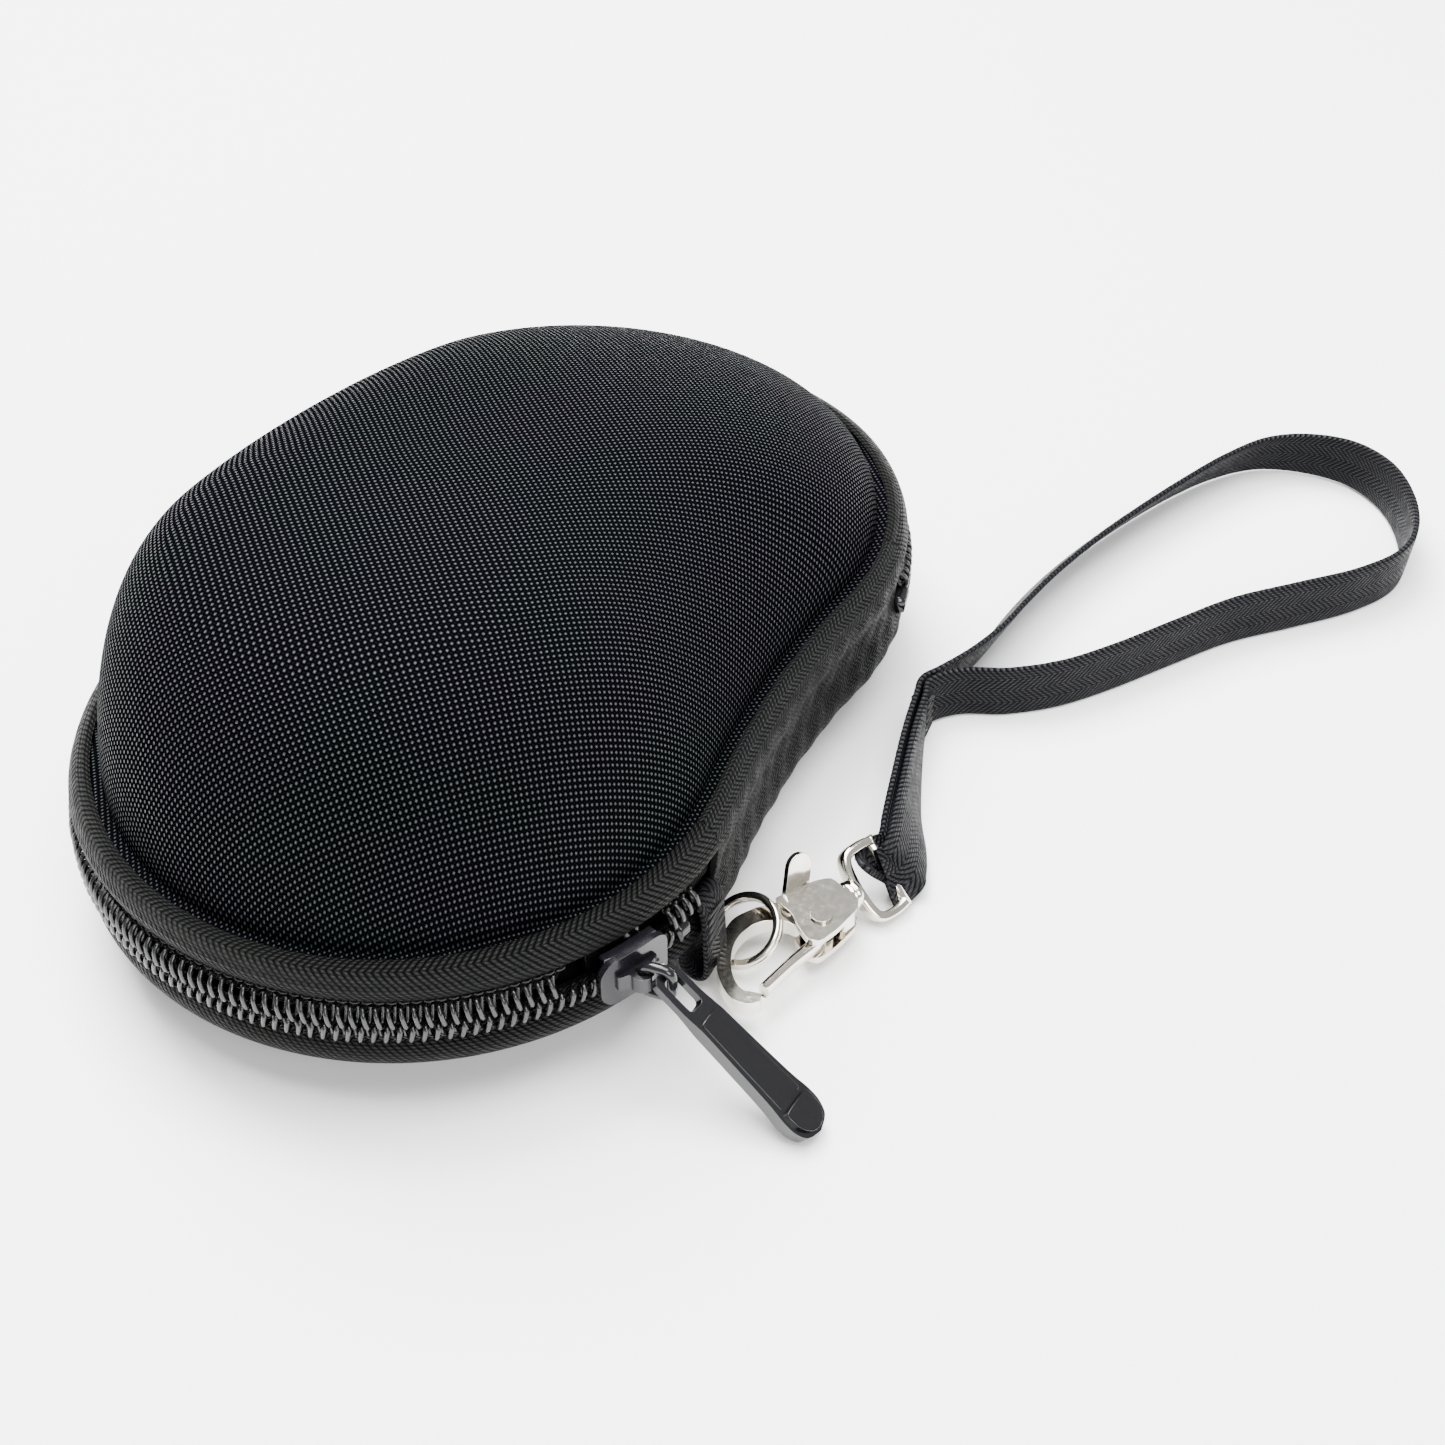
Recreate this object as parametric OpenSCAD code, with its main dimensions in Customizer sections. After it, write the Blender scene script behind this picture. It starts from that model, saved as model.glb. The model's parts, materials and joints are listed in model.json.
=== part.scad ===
// Zipped hard-shell carrying case for headphones, with a tab, split ring, swivel clasp and wrist strap.
// Units are millimetres. The origin is the centre of the flat base, +Z is up, +X is the hinge side.

/* [Case] */
// Radius of the broad front end at the zip tape
near_r = 47; // [40:0.5:54]
// Radius of the narrow far end at the zip tape
far_r = 42.5; // [36:0.5:50]
// Distance from the front arc centre to the far arc centre, along the case
arc_gap = 59; // [50:1:70]
// Sideways offset of the far arc centre
far_shift = 5; // [0:0.5:10]
// Radius of the long outward curve on the zip side
left_r = 198; // [160:1:260]
// Radius of the inward waist on the hinge side
waist_r = 152; // [120:1:220]
// Height of the zip plane above the base
zip_z = 18; // [14:0.5:24]
// Height of the domed lid above the zip plane
dome_h = 41; // [30:0.5:48]
// Thickness of the moulded foam shell
shell_t = 3; // [2:0.1:4]
// Thickness of the lining cloth
lining_t = 1; // [0.6:0.1:1.5]

/* [Zip] */
// Pitch of the zip coil
tooth_pitch = 1.6; // [1.2:0.05:2]
// Angle of the slider at rest, from +X
slider_at = -25; // [-40:1:-20]
// Largest opening angle of the lid
lid_open = 105; // [60:1:110]

/* [Clasp] */
// Direction of the clasp seen from above
clasp_heading = 66; // [50:1:80]
// Thickness of the clasp body
clasp_t = 4.8; // [4:0.1:6]
// Angle by which the swivel eye is turned from flat
eye_roll = 39; // [0:1:90]

/* [Strap] */
// Width of the strap webbing
web_w = 9.5; // [8:0.5:12]
// Thickness of the strap webbing
web_t = 1.2; // [1:0.1:1.6]

/* [Hidden] */
$fn = 48;

near_c = [0, -28];
far_c = near_c + [far_shift, arc_gap];

// Where two circles cross, on the chosen side of the line between their centres
function meet(a, ra, b, rb, side) =
    let (d = norm(b - a))
    let (along = (ra * ra - rb * rb + d * d) / (2 * d))
    let (off = sqrt(ra * ra - along * along))
    let (u = (b - a) / d)
    a + along * u + side * off * [-u[1], u[0]];

function heading(v) = atan2(v[1], v[0]);

left_c = meet(near_c, left_r - near_r, far_c, left_r - far_r, -1);
waist_c = meet(near_c, waist_r + near_r, far_c, waist_r + far_r, -1);

// The outline runs counter-clockwise: far arc, zip-side curve, front arc, waist
a_far0 = heading(waist_c - far_c);
a_far1 = heading(far_c - left_c);
a_near0 = heading(near_c - left_c) + 360;
a_near1 = heading(waist_c - near_c) + 360;
a_waist0 = a_near1 - 180;
a_waist1 = a_far0 + 180;
arc_far = [far_c, far_r, a_far0, a_far1, 1];
arc_left = [left_c, left_r, a_far1, a_near0, 1];
arc_near = [near_c, near_r, a_near0, a_near1, 1];
arc_waist = [waist_c, waist_r, a_waist0, a_waist1, -1];

// A point on an arc, moved outward from the case by d
function on_arc(arc, t, d) =
    let (a = arc[2] + t * (arc[3] - arc[2]))
    arc[0] + (arc[1] + arc[4] * d) * [cos(a), sin(a)];

function arc_stations(arc, n) = [for (i = [0:n - 1]) [arc, i / n]];
stations = concat(arc_stations(arc_far, 22), arc_stations(arc_left, 9),
    arc_stations(arc_near, 27), arc_stations(arc_waist, 7));

// A closed loop of points round the outline at offset d and height z
function ring_at(d, z) = [for (s = stations) let (p = on_arc(s[0], s[1], d)) [p[0], p[1], z]];

// Skin joining a stack of equal loops, closed at both ends or into a tube
module loft(rings, closed = false) {
    n = len(rings[0]);
    m = len(rings);
    pts = [for (r = rings) each r];
    last = closed ? m : m - 1;
    sides = [for (j = [0:last - 1]) for (i = [0:n - 1])
        let (k = (i + 1) % n)
        let (a = j * n)
        let (b = ((j + 1) % m) * n)
        each [[a + i, b + k, a + k], [a + i, b + i, b + k]]];
    foot = [[for (i = [0:n - 1]) i]];
    head = [[for (i = [n - 1:-1:0]) (m - 1) * n + i]];
    polyhedron(points = pts, faces = closed ? sides : concat(sides, foot, head));
}

// Solid swept from a profile of [offset, height] points along one arc of the outline
module along_arc(arc, profile, t0 = 0, t1 = 1) {
    a0 = arc[2] + t0 * (arc[3] - arc[2]);
    a1 = arc[2] + t1 * (arc[3] - arc[2]);
    translate([arc[0][0], arc[0][1], zip_z])
        rotate([0, 0, min(a0, a1)])
        rotate_extrude(angle = abs(a1 - a0))
        polygon([for (p = profile) [arc[1] + arc[4] * p[0], p[1]]]);
}

module along_all(profile) {
    along_arc(arc_far, profile);
    along_arc(arc_left, profile);
    along_arc(arc_near, profile);
    along_arc(arc_waist, profile);
}

function flip(profile) = [for (p = profile) [p[0], -p[1]]];
function near_t(angle) = (angle + 360 - a_near0) / (a_near1 - a_near0);

// Cross-sections of the rim, as [outward offset, height above the zip plane]
tape_outer = [[0, 0.9], [0.1, 3.2], [1.2, 4.6], [1.6, 6.2], [1.1, 8], [-0.4, 9.3], [-1.6, 9.5]];
tape_inner = [[-1.6, 8.85], [-0.6, 8.6], [0.5, 7.6], [0.85, 6.2], [0.45, 4.9], [-0.6, 3.4], [-0.8, 0.9]];
tape_full = concat(tape_outer, tape_inner);
coil_half = [[0.1, 0.75], [1.2, 0.75], [2.1, 0.9], [2.4, 1.3], [2.1, 2.4], [1.3, 3], [0.25, 3]];
hinge_outer = [[0.6, 0.15], [1, 3], [1.5, 5], [1.6, 6.2], [1.1, 8], [-0.4, 9.3], [-1.6, 9.5]];
hinge_inner = [[-1.6, 8.85], [-0.6, 8.6], [0.5, 7.6], [0.85, 6.2], [0.7, 5], [0.2, 3], [-0.2, 0.15]];
hinge_full = concat(hinge_outer, hinge_inner);
binding_half = [[-6.6, 4.5], [-6.6, 6.6], [-7.3, 6.6], [-7.3, 3.9], [-2.8, 3.9], [-2.8, 4.5]];
flange_gap = 4.7;

// The zip opening on the front arc ends beside the tab; the coil stops short of the slider
notch_0 = near_t(-36.5);
notch_1 = near_t(-14.5);
coil_end = near_t(-7.5);
tape_end = near_t(-1.5);
hinge_far = 0.12;

// Lid dome: a blend from the wall base up to the crown
crown_at = [-12, -13];
function dome_pt(s, d, rho) =
    let (b = on_arc(s[0], s[1], d))
    let (p = crown_at + rho * (b - crown_at))
    let (tilt = 1 - 0.0045 * (p[1] - crown_at[1]))
    let (rise = pow(max(0, 1 - pow(rho, 4.5)), 1 / 1.65))
    [p[0], p[1], rise * tilt];

function dome_ring(d, rho, base, h) =
    [for (s = stations) let (p = dome_pt(s, d, rho)) [p[0], p[1], zip_z + base + h * p[2]]];

dome_rhos = [1, 0.985, 0.95, 0.9, 0.82, 0.7, 0.52, 0.3];
function dome_rings(d, base, h) = [for (rho = dome_rhos) dome_ring(d, rho, base, h)];
function backwards(list) = [for (i = [len(list) - 1:-1:0]) list[i]];

module upper_shell() {
    wall = 8.7;
    outside = concat([ring_at(-6.2, zip_z + flange_gap), ring_at(-0.9, zip_z + flange_gap)],
        [ring_at(0.1, zip_z + 5.1), ring_at(0.45, zip_z + 6.2), ring_at(0.1, zip_z + 7.5)],
        [ring_at(-0.9, zip_z + 8.3), ring_at(-3.3, zip_z + 8.6)],
        dome_rings(-3.4, wall, dome_h - wall));
    inside = concat(backwards(dome_rings(-3.4 - shell_t, wall, dome_h - wall - shell_t)),
        [ring_at(-6.4, zip_z + 8)]);
    color("dimgray") loft_pair(outside, inside);
}

// A hollow cup: the outside loops run up to a cap, the inside loops run back down from a cap
module loft_pair(outside, inside) {
    n = len(stations);
    a = len(outside);
    m = a + len(inside);
    pts = concat([for (r = outside) each r], [for (r = inside) each r]);
    sides = [for (j = [0:m - 1]) for (i = [0:n - 1])
        if (j != a - 1)
        let (k = (i + 1) % n)
        let (p = j * n)
        let (q = ((j + 1) % m) * n)
        each [[p + i, q + k, p + k], [p + i, q + i, q + k]]];
    top_out = [[for (i = [n - 1:-1:0]) (a - 1) * n + i]];
    top_in = [[for (i = [0:n - 1]) a * n + i]];
    polyhedron(points = pts, faces = concat(sides, top_out, top_in));
}

module upper_lining() {
    gap = 0.15;
    outside = concat([ring_at(-6.5, zip_z + 8)],
        dome_rings(-3.4 - shell_t - gap, 8.7, dome_h - 8.7 - shell_t - gap));
    inside = concat(backwards(dome_rings(-3.4 - shell_t - gap - lining_t, 8.7,
        dome_h - 8.7 - shell_t - gap - lining_t)), [ring_at(-6.5 - lining_t, zip_z + 8)]);
    color("darkslategray") loft_pair(outside, inside);
}

// Lower shell: the same flange upside down, then a shallow rounded bowl with a flat bottom
bowl = [[-3.4, -8.7], [-4.2, -11], [-6, -14], [-9, -16.6], [-13, -17.8], [-17, -18]];
bowl_in = [[-6.6, -8.7], [-7.2, -10.4], [-8.7, -12.6], [-11, -14.2], [-14, -14.9], [-17.5, -15]];

module lower_shell() {
    outside = concat([[-6.2, -flange_gap], [-0.9, -flange_gap], [0.1, -5.1], [0.45, -6.2], [0.1, -7.5]],
        [[-0.9, -8.3], [-3.3, -8.6]], bowl);
    inside = concat(backwards(bowl_in), [[-6.4, -7.5]]);
    color("dimgray")
        translate([0, 0, 2 * zip_z])
        mirror([0, 0, 1])
        loft_pair([for (p = outside) ring_at(p[0], zip_z - p[1])],
            [for (p = inside) ring_at(p[0], zip_z - p[1])]);
}

module lower_lining() {
    gap = 0.15;
    skin = concat([[-6.6, -7.4]], [for (p = bowl_in) [p[0] - gap, p[1] + gap]]);
    inner = concat(backwards([for (p = bowl_in) [p[0] - gap - lining_t, p[1] + gap + lining_t]]),
        [[-6.6 - lining_t, -7.4]]);
    color("darkslategray")
        translate([0, 0, 2 * zip_z])
        mirror([0, 0, 1])
        loft_pair([for (p = skin) ring_at(p[0], zip_z - p[1])],
            [for (p = inner) ring_at(p[0], zip_z - p[1])]);
}

module upper_binding() {
    color("black") along_all(binding_half);
}

module lower_binding() {
    color("black") along_all(flip(binding_half));
}

// Evenly spaced places along part of an arc, without the last one
function span(arc, t0, t1, n) = [for (i = [0:n - 1]) [arc, t0 + (t1 - t0) * i / n]];

// A strip with two faces of equal point count, carried along a list of places
module band(places, profiles) {
    n = len(profiles[0]);
    m = len(places);
    pts = [for (j = [0:m - 1]) for (p = profiles[j])
        let (q = on_arc(places[j][0], places[j][1], p[0]))
        [q[0], q[1], zip_z + p[1]]];
    sides = [for (j = [0:m - 2]) for (i = [0:n - 1])
        let (k = (i + 1) % n)
        let (a = j * n)
        let (b = a + n)
        each [[a + i, a + k, b + k], [a + i, b + k, b + i]]];
    foot = [for (i = [0:n / 2 - 2]) [n - 1 - i, n - 2 - i, i + 1, i]];
    head = [for (i = [0:n / 2 - 2]) [for (v = [i, i + 1, n - 2 - i, n - 1 - i]) (m - 1) * n + v]];
    polyhedron(points = pts, faces = concat(sides, foot, head));
}

// Zip tapes wrap the rim from the far end of the hinge strip round to the tab
tape_notched = concat([[1, 4.6], [1.1, 4.6], [1.2, 4.6]], [for (i = [3:6]) tape_outer[i]],
    [for (i = [0:4]) tape_inner[i]], [[0.6, 4.8], [0.8, 4.7]]);
tape_start = concat(span(arc_far, hinge_far, 1, 18), span(arc_left, 0, 1, 9));
tape_places = concat(tape_start, span(arc_near, 0, notch_0, 20), span(arc_near, notch_0, notch_0 + 0.004, 1),
    span(arc_near, notch_0 + 0.004, notch_1 - 0.004, 4), span(arc_near, notch_1 - 0.004, notch_1, 1),
    span(arc_near, notch_1, tape_end, 2), [[arc_near, tape_end]]);
slot_first = len(tape_start) + 21;

module zip_tape_upper() {
    profiles = [for (i = [0:len(tape_places) - 1])
        i >= slot_first && i <= slot_first + 4 ? tape_notched : tape_full];
    color("black") band(tape_places, profiles);
}

module zip_tape_lower() {
    color("black")
        translate([0, 0, 2 * zip_z])
        mirror([0, 0, 1])
        band(tape_places, [for (p = tape_places) tape_full]);
}

module coil_row(side) {
    profile = side > 0 ? coil_half : flip(coil_half);
    along_arc(arc_far, profile, hinge_far + 0.02, 1);
    along_arc(arc_left, profile);
    along_arc(arc_near, profile, 0, side > 0 ? notch_0 : near_t(-16));
}

module zip_coil_upper() {
    color("dimgray") {
        coil_row(1);
        along_arc(arc_near, coil_half, notch_1, coil_end);
    }
}

module zip_coil_lower() {
    color("dimgray") coil_row(-1);
}

// Small crimped stops where the coil ends
module zip_end_stops() {
    stop = [[0.3, -3.1], [2.5, -3.1], [2.5, -0.2], [0.3, -0.2]];
    color("black") {
        along_arc(arc_near, stop, near_t(-14), near_t(-11.5));
        along_arc(arc_far, stop, hinge_far + 0.001, hinge_far + 0.017);
    }
}

module hinge_band(profile) {
    along_arc(arc_near, profile, tape_end + 0.002, 1);
    along_arc(arc_waist, profile);
    along_arc(arc_far, profile, 0, hinge_far - 0.002);
}

module hinge_strip_lid() {
    color("black") hinge_band(hinge_full);
}

module hinge_strip_base() {
    color("black") hinge_band(flip(hinge_full));
}

// Lining cloth across the back of the fold, fixed to the base
module hinge_lining() {
    strip = [[-1.4, -3.6], [-0.9, -3.6], [-0.5, -0.2], [-1, -0.2]];
    color("darkslategray") {
        along_arc(arc_near, strip, near_t(2), 1);
        along_arc(arc_waist, strip);
        along_arc(arc_far, strip, 0, hinge_far - 0.01);
    }
}

// Slider: everything is turned about the front arc centre so it can run along the coil
module about_front(profile, half) {
    translate([near_c[0], near_c[1], zip_z])
        rotate([0, 0, slider_at - half])
        rotate_extrude(angle = 2 * half)
        polygon([for (p = profile) [near_r + p[0], p[1]]]);
}

module slider_body() {
    color("black") {
        about_front([[-2.4, -4.1], [-1.1, -4.1], [-1.1, 4.1], [-2.4, 4.1]], 5.8);
        about_front([[2.75, -4.1], [3.8, -4.1], [3.8, 4.1], [2.75, 4.1]], 6.2);
        about_front([[1.45, -4.1], [2.75, -4.1], [2.75, -3.35], [1.45, -3.35]], 5);
        about_front([[1.45, 3.35], [2.75, 3.35], [2.75, 4.1], [1.45, 4.1]], 5);
        translate([near_c[0], near_c[1], zip_z])
            rotate([0, 0, slider_at + 5.2])
            translate([near_r - 1.6, -0.35, -0.5])
            cube([4.8, 1.1, 1]);
    }
}

crown_r = near_r + 3.8;
module slider_crown() {
    color("black")
        translate([near_c[0], near_c[1], zip_z])
        rotate([0, 0, slider_at])
        translate([crown_r + 0.05, 0, 0])
        difference() {
            union() {
                translate([0, -3.2, -1.2]) cube([0.6, 6.4, 2.4]);
                translate([0, -1.75, -1.2]) cube([1.3, 3.5, 2.4]);
                translate([1.3, 0, 0]) cylinder(r = 1.75, h = 2.4, center = true);
            }
            translate([1.3, 0, 0]) cylinder(r = 0.95, h = 8, center = true);
            translate([-3, -5, -5]) cube([3, 10, 10]);
        }
}

module slider_lock_spring() {
    color("silver")
        translate([near_c[0], near_c[1], zip_z])
        rotate([0, 0, slider_at])
        translate([near_r + 3.85, 3.45, -1.4])
        cube([0.35, 1.3, 0.4]);
}

// Puller link: a wire frame through the crown; its outer bar stands in the window of the pull tab
link_at = near_c + (crown_r + 1.35) * [cos(slider_at), sin(slider_at)];
link_dir = 5;
link_l = 4.2;
module in_link() {
    translate([link_at[0], link_at[1], zip_z]) rotate([0, 0, link_dir]) children();
}

module bar_between(a, b, r) {
    v = b - a;
    translate(a)
        rotate([0, atan2(norm([v[0], v[1]]), v[2]), heading(v)])
        cylinder(r = r, h = norm(v), $fn = 24);
}

module puller_link() {
    w = 2.5;
    l = link_l;
    color("black") in_link() {
        bar_between([0, 0, -w], [0, 0, w], 0.75);
        bar_between([l, 0, -w], [l, 0, w], 0.75);
        for (s = [-1, 1]) bar_between([0, 0, s * w], [l, 0, s * w], 0.75);
        for (s = [-1, 1]) for (u = [0, l]) translate([u, 0, s * w]) sphere(r = 0.75, $fn = 24);
    }
}

// Pull tab: a frame whose top bar crosses inside the link, and a plate reaching to the floor
tab_at = [link_at[0] + link_l * cos(link_dir), link_at[1] + link_l * sin(link_dir), zip_z];
tab_drop = 37.5;
top_bar = -1.75;
module puller_tab() {
    outline = [[top_bar, -2.4], [3, -2.5], [16, -2.9], [22, -3.3], [25.4, -3.3], [27.4, -2.2], [28, 0]];
    shape = concat(outline, [for (i = [5:-1:0]) [outline[i][0], -outline[i][1]]]);
    color("black")
        translate(tab_at)
        rotate([0, tab_drop, link_dir - 10]) {
            difference() {
                translate([0, 0, -0.6]) linear_extrude(1.2) polygon(shape);
                translate([top_bar - 1, -1.3, -3]) cube([5.8 + 1 - top_bar, 2.6, 6]);
            }
            translate([top_bar, 0, 0]) rotate([90, 0, 0]) cylinder(r = 0.6, h = 4.8, center = true);
            translate([6.6, -2.3, -0.85]) cube([17, 4.6, 1.7]);
            translate([23.8, -2.6, 0.6]) cube([3, 5.2, 0.7]);
        }
}

// Folded webbing tab: a strip over the rim and a loop round the ring
ring_c = [51.1, -25.6, 4.75];
ring_tilt = 32;
ring_face = 60;
ring_r = 4.75;
ring_wire = 0.8;
module in_ring() {
    translate(ring_c) rotate([0, 0, ring_face]) rotate([0, -ring_tilt, 0]) children();
}

loop_turn = 136;
ring_loop = ring_c + ring_r * [
    cos(loop_turn) * cos(ring_tilt) * cos(ring_face) - sin(loop_turn) * sin(ring_face),
    cos(loop_turn) * cos(ring_tilt) * sin(ring_face) + sin(loop_turn) * cos(ring_face),
    cos(loop_turn) * sin(ring_tilt)];
module ring_tab() {
    color("black") difference() {
        union() {
            translate([48.85, -36.2, 7]) cube([0.9, 6, 10.4]);
            bar_between([49.2, -32, 8.2], ring_loop, 0.8);
            in_ring() rotate([0, 0, loop_turn]) translate([ring_r, 0, 0])
                rotate([90, 0, 0]) cylinder(r = 2.1, h = 3, center = true);
        }
        in_ring() rotate([0, 0, loop_turn]) translate([ring_r, 0, 0])
            rotate([90, 0, 0]) cylinder(r = 1.25, h = 8, center = true);
    }
}

module strap_ring() {
    color("silver") in_ring() rotate_extrude() translate([ring_r, 0]) circle(r = ring_wire, $fn = 24);
}

// Clasp, drawn flat about its rivet and then turned to its heading
clasp_at = [60.7, -20.4, 4.8];
module in_clasp() {
    translate(clasp_at) rotate([0, 0, clasp_heading]) children();
}

// Points of a smooth curve through hand-placed points
function smooth(pts, n) = [for (i = [0:len(pts) - 2]) for (j = [0:n - 1])
    let (t = j / n)
    let (a = pts[max(i - 1, 0)])
    let (b = pts[i])
    let (c = pts[i + 1])
    let (d = pts[min(i + 2, len(pts) - 1)])
    0.5 * (2 * b + t * (c - a) + t * t * (2 * a - 5 * b + 4 * c - d)
        + t * t * t * (3 * b - a - 3 * c + d))];

function left_of(v) = [-v[1], v[0]] / norm(v);
function side_points(path, w) = [for (i = [0:len(path) - 1])
    let (v = path[min(i + 1, len(path) - 1)] - path[max(i - 1, 0)])
    path[i] + w * left_of(v)];

module flat_ribbon(pts, w) {
    path = concat(smooth(pts, 5), [pts[len(pts) - 1]]);
    polygon(concat(side_points(path, w / 2), backwards(side_points(path, -w / 2))));
}

swivel_v = 1.8;
slot_half = 1.75;
module clasp_body() {
    hook = [[-1.5, 4.4], [-5.5, 6.6], [-9.5, 7], [-13.5, 4.9], [-16.4, 1.2], [-17.9, -2.4], [-16.4, -4.3]];
    body = [[-3.6, -2.6], [-2.6, -3], [4.6, -2.4], [6, -1.4], [6, 5], [4, 5.9], [-2, 6.4], [-3.4, 4]];
    color("silver") in_clasp() difference() {
        union() {
            translate([0, 0, -clasp_t / 2]) linear_extrude(clasp_t) polygon(body);
            translate([0, 0, -1.15]) linear_extrude(2.3) flat_ribbon(hook, 2.3);
            translate([6, swivel_v, 0]) rotate([0, 90, 0]) cylinder(r = 2.4, h = 1.3);
        }
        translate([-2.9, -3.5, -slot_half]) cube([5, 12, 2 * slot_half]);
        translate([-6, -3.5, -slot_half]) cube([6, 4.9, 2 * slot_half]);
        translate([0, 3.95, -slot_half]) cube([5.3, 6, 2 * slot_half]);
        cylinder(r = 1, h = 20, center = true);
        translate([2.2, swivel_v, 0]) rotate([0, 90, 0]) cylinder(r = 1.3, h = 6);
        translate([2.2, swivel_v, 0]) rotate([0, 90, 0]) cylinder(r = 1.95, h = 1.9);
    }
}

module clasp_lever() {
    gate = [[-0.8, -1.2], [-3, -2.1], [-8, -2.6], [-14.5, -3.8]];
    thumb = [[-1, 1.2], [-0.6, 4], [0.4, 6.5], [2, 9.2]];
    color("silver") in_clasp() difference() {
        union() {
            cylinder(r = 1.9, h = 2.2, center = true);
            translate([0, 0, -1.1]) linear_extrude(2.2) flat_ribbon(gate, 1.7);
            translate([0, 0, -1.1]) linear_extrude(2.2) flat_ribbon(thumb, 2.4);
            translate([2, 9.2, 0]) cylinder(r = 2.1, h = 2.2, center = true);
        }
        cylinder(r = 1.06, h = 6, center = true);
    }
}

module clasp_rivet() {
    color("silver") in_clasp() {
        cylinder(r = 1, h = clasp_t, center = true);
        for (s = [-1, 1]) translate([0, 0, s * (clasp_t / 2 + 0.2)])
            cylinder(r = 1.6, h = 0.4, center = true);
    }
}

module clasp_spring() {
    color("gray") in_clasp() translate([0, 0, 1.42])
        rotate_extrude() translate([1.45, 0]) circle(r = 0.22, $fn = 16);
}

eye_bar_u = 14.6;
module swivel_eye() {
    half = 5.4;
    color("silver") in_clasp() translate([0, swivel_v, 0]) rotate([eye_roll, 0, 0]) {
        translate([2.6, 0, 0]) rotate([0, 90, 0]) cylinder(r = 1.75, h = 1.2);
        translate([2.6, 0, 0]) rotate([0, 90, 0]) cylinder(r = 1.22, h = 6);
        translate([7.5, 0, 0]) rotate([0, 90, 0]) cylinder(r = 2.2, h = 0.9);
        translate([8.2, -half - 0.9, -1]) cube([1.5, 2 * half + 1.8, 2]);
        for (s = [-1, 1]) translate([8.2, s * half - 0.9, -1]) cube([eye_bar_u - 8.2, 1.8, 2]);
        translate([eye_bar_u, 0, 0]) rotate([90, 0, 0]) cylinder(r = 1, h = 2 * half + 1.8, center = true);
    }
}

// Wrist strap: [x, y, z, lean of the webbing from upright] along the doubled stem and the loop
stem_pts = [[66.2, -3.6, 5.7, -38], [64.7, 1.5, 5.7, -32], [62, 9, 5.4, -18], [59, 19, 5.2, -8],
    [57, 27, 5.1, 0],
    [56.5, 31, 5.1, 0]];
loop_pts = [[57, 34.6, 5.1, 8], [59, 41, 5, 18], [60.8, 49, 4.8, 25], [61.8, 58, 4.6, 30],
    [63.6, 68, 4.5, 33],
    [66.6, 79, 4.4, 35], [70.6, 90, 4.4, 35], [75.4, 101, 4.5, 33], [80.6, 110.5, 4.7, 28],
    [86.5, 117.4, 4.9, 20], [94, 120.6, 5.1, 10], [102, 120.8, 5.2, 2], [109, 117, 5.2, -4],
    [114, 110, 5.1, -6], [116.6, 102, 5, -6], [116, 94.5, 4.9, -4], [111, 86.6, 4.9, -2],
    [103, 78.6, 4.9, 0], [94.6, 70.4, 4.9, 0], [87.4, 60.6, 4.9, 0], [81, 51.6, 4.9, 0],
    [74.6, 44, 4.9, 0], [67.6, 38.6, 4.9, 0], [61, 35.4, 5, 0]];

function with_side(list, gap) = [for (i = [0:len(list) - 1])
    let (v = list[min(i + 1, len(list) - 1)] - list[max(i - 1, 0)])
    let (n = left_of([v[0], v[1]]))
    list[i] + [gap * n[0], gap * n[1], 0, 0]];

strap_route = concat(with_side(stem_pts, 0.85), loop_pts, backwards(with_side(stem_pts, -0.85)));
strap_line = concat(smooth(strap_route, 3), [strap_route[len(strap_route) - 1]]);

// Cross-section of the webbing at one point of its line
function web_ring(line, i, w, t) =
    let (v = line[min(i + 1, len(line) - 1)] - line[max(i - 1, 0)])
    let (n = left_of([v[0], v[1]]))
    let (lean = line[i][3])
    let (up = [-sin(lean) * n[0], -sin(lean) * n[1], cos(lean)])
    let (out = [cos(lean) * n[0], cos(lean) * n[1], sin(lean)])
    let (c = [line[i][0], line[i][1], line[i][2]])
    [for (k = [[1, 0.5], [0.94, 1], [-0.94, 1], [-1, 0.5], [-1, -0.5], [-0.94, -1], [0.94, -1], [1, -0.5]])
        c + k[0] * w / 2 * up + k[1] * t / 2 * out];

module wrist_strap() {
    color("black")
        loft([for (i = [0:len(strap_line) - 1]) web_ring(strap_line, i, web_w, web_t)]);
}

// Bar-tack stitches standing on both outer faces where the loop leaves the stem
module strap_stitches() {
    color("gray")
        for (side = [-1, 1])
            for (y = [28.5, 29.9])
                translate([56.6 + 1.88 * side, y, 2.2])
                cylinder(r = 0.25, h = 5.8, $fn = 16);
}

upper_shell();
upper_lining();
lower_shell();
lower_lining();
upper_binding();
lower_binding();
zip_tape_upper();
zip_tape_lower();
zip_coil_upper();
zip_coil_lower();
zip_end_stops();
hinge_strip_lid();
hinge_strip_base();
hinge_lining();
slider_body();
slider_crown();
slider_lock_spring();
puller_link();
puller_tab();
ring_tab();
strap_ring();
clasp_body();
clasp_lever();
clasp_rivet();
clasp_spring();
swivel_eye();
wrist_strap();
strap_stitches();
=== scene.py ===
"""Looks for the headphone carrying case, built in metres in the same frame as the CAD model."""

import json
import math

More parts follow.
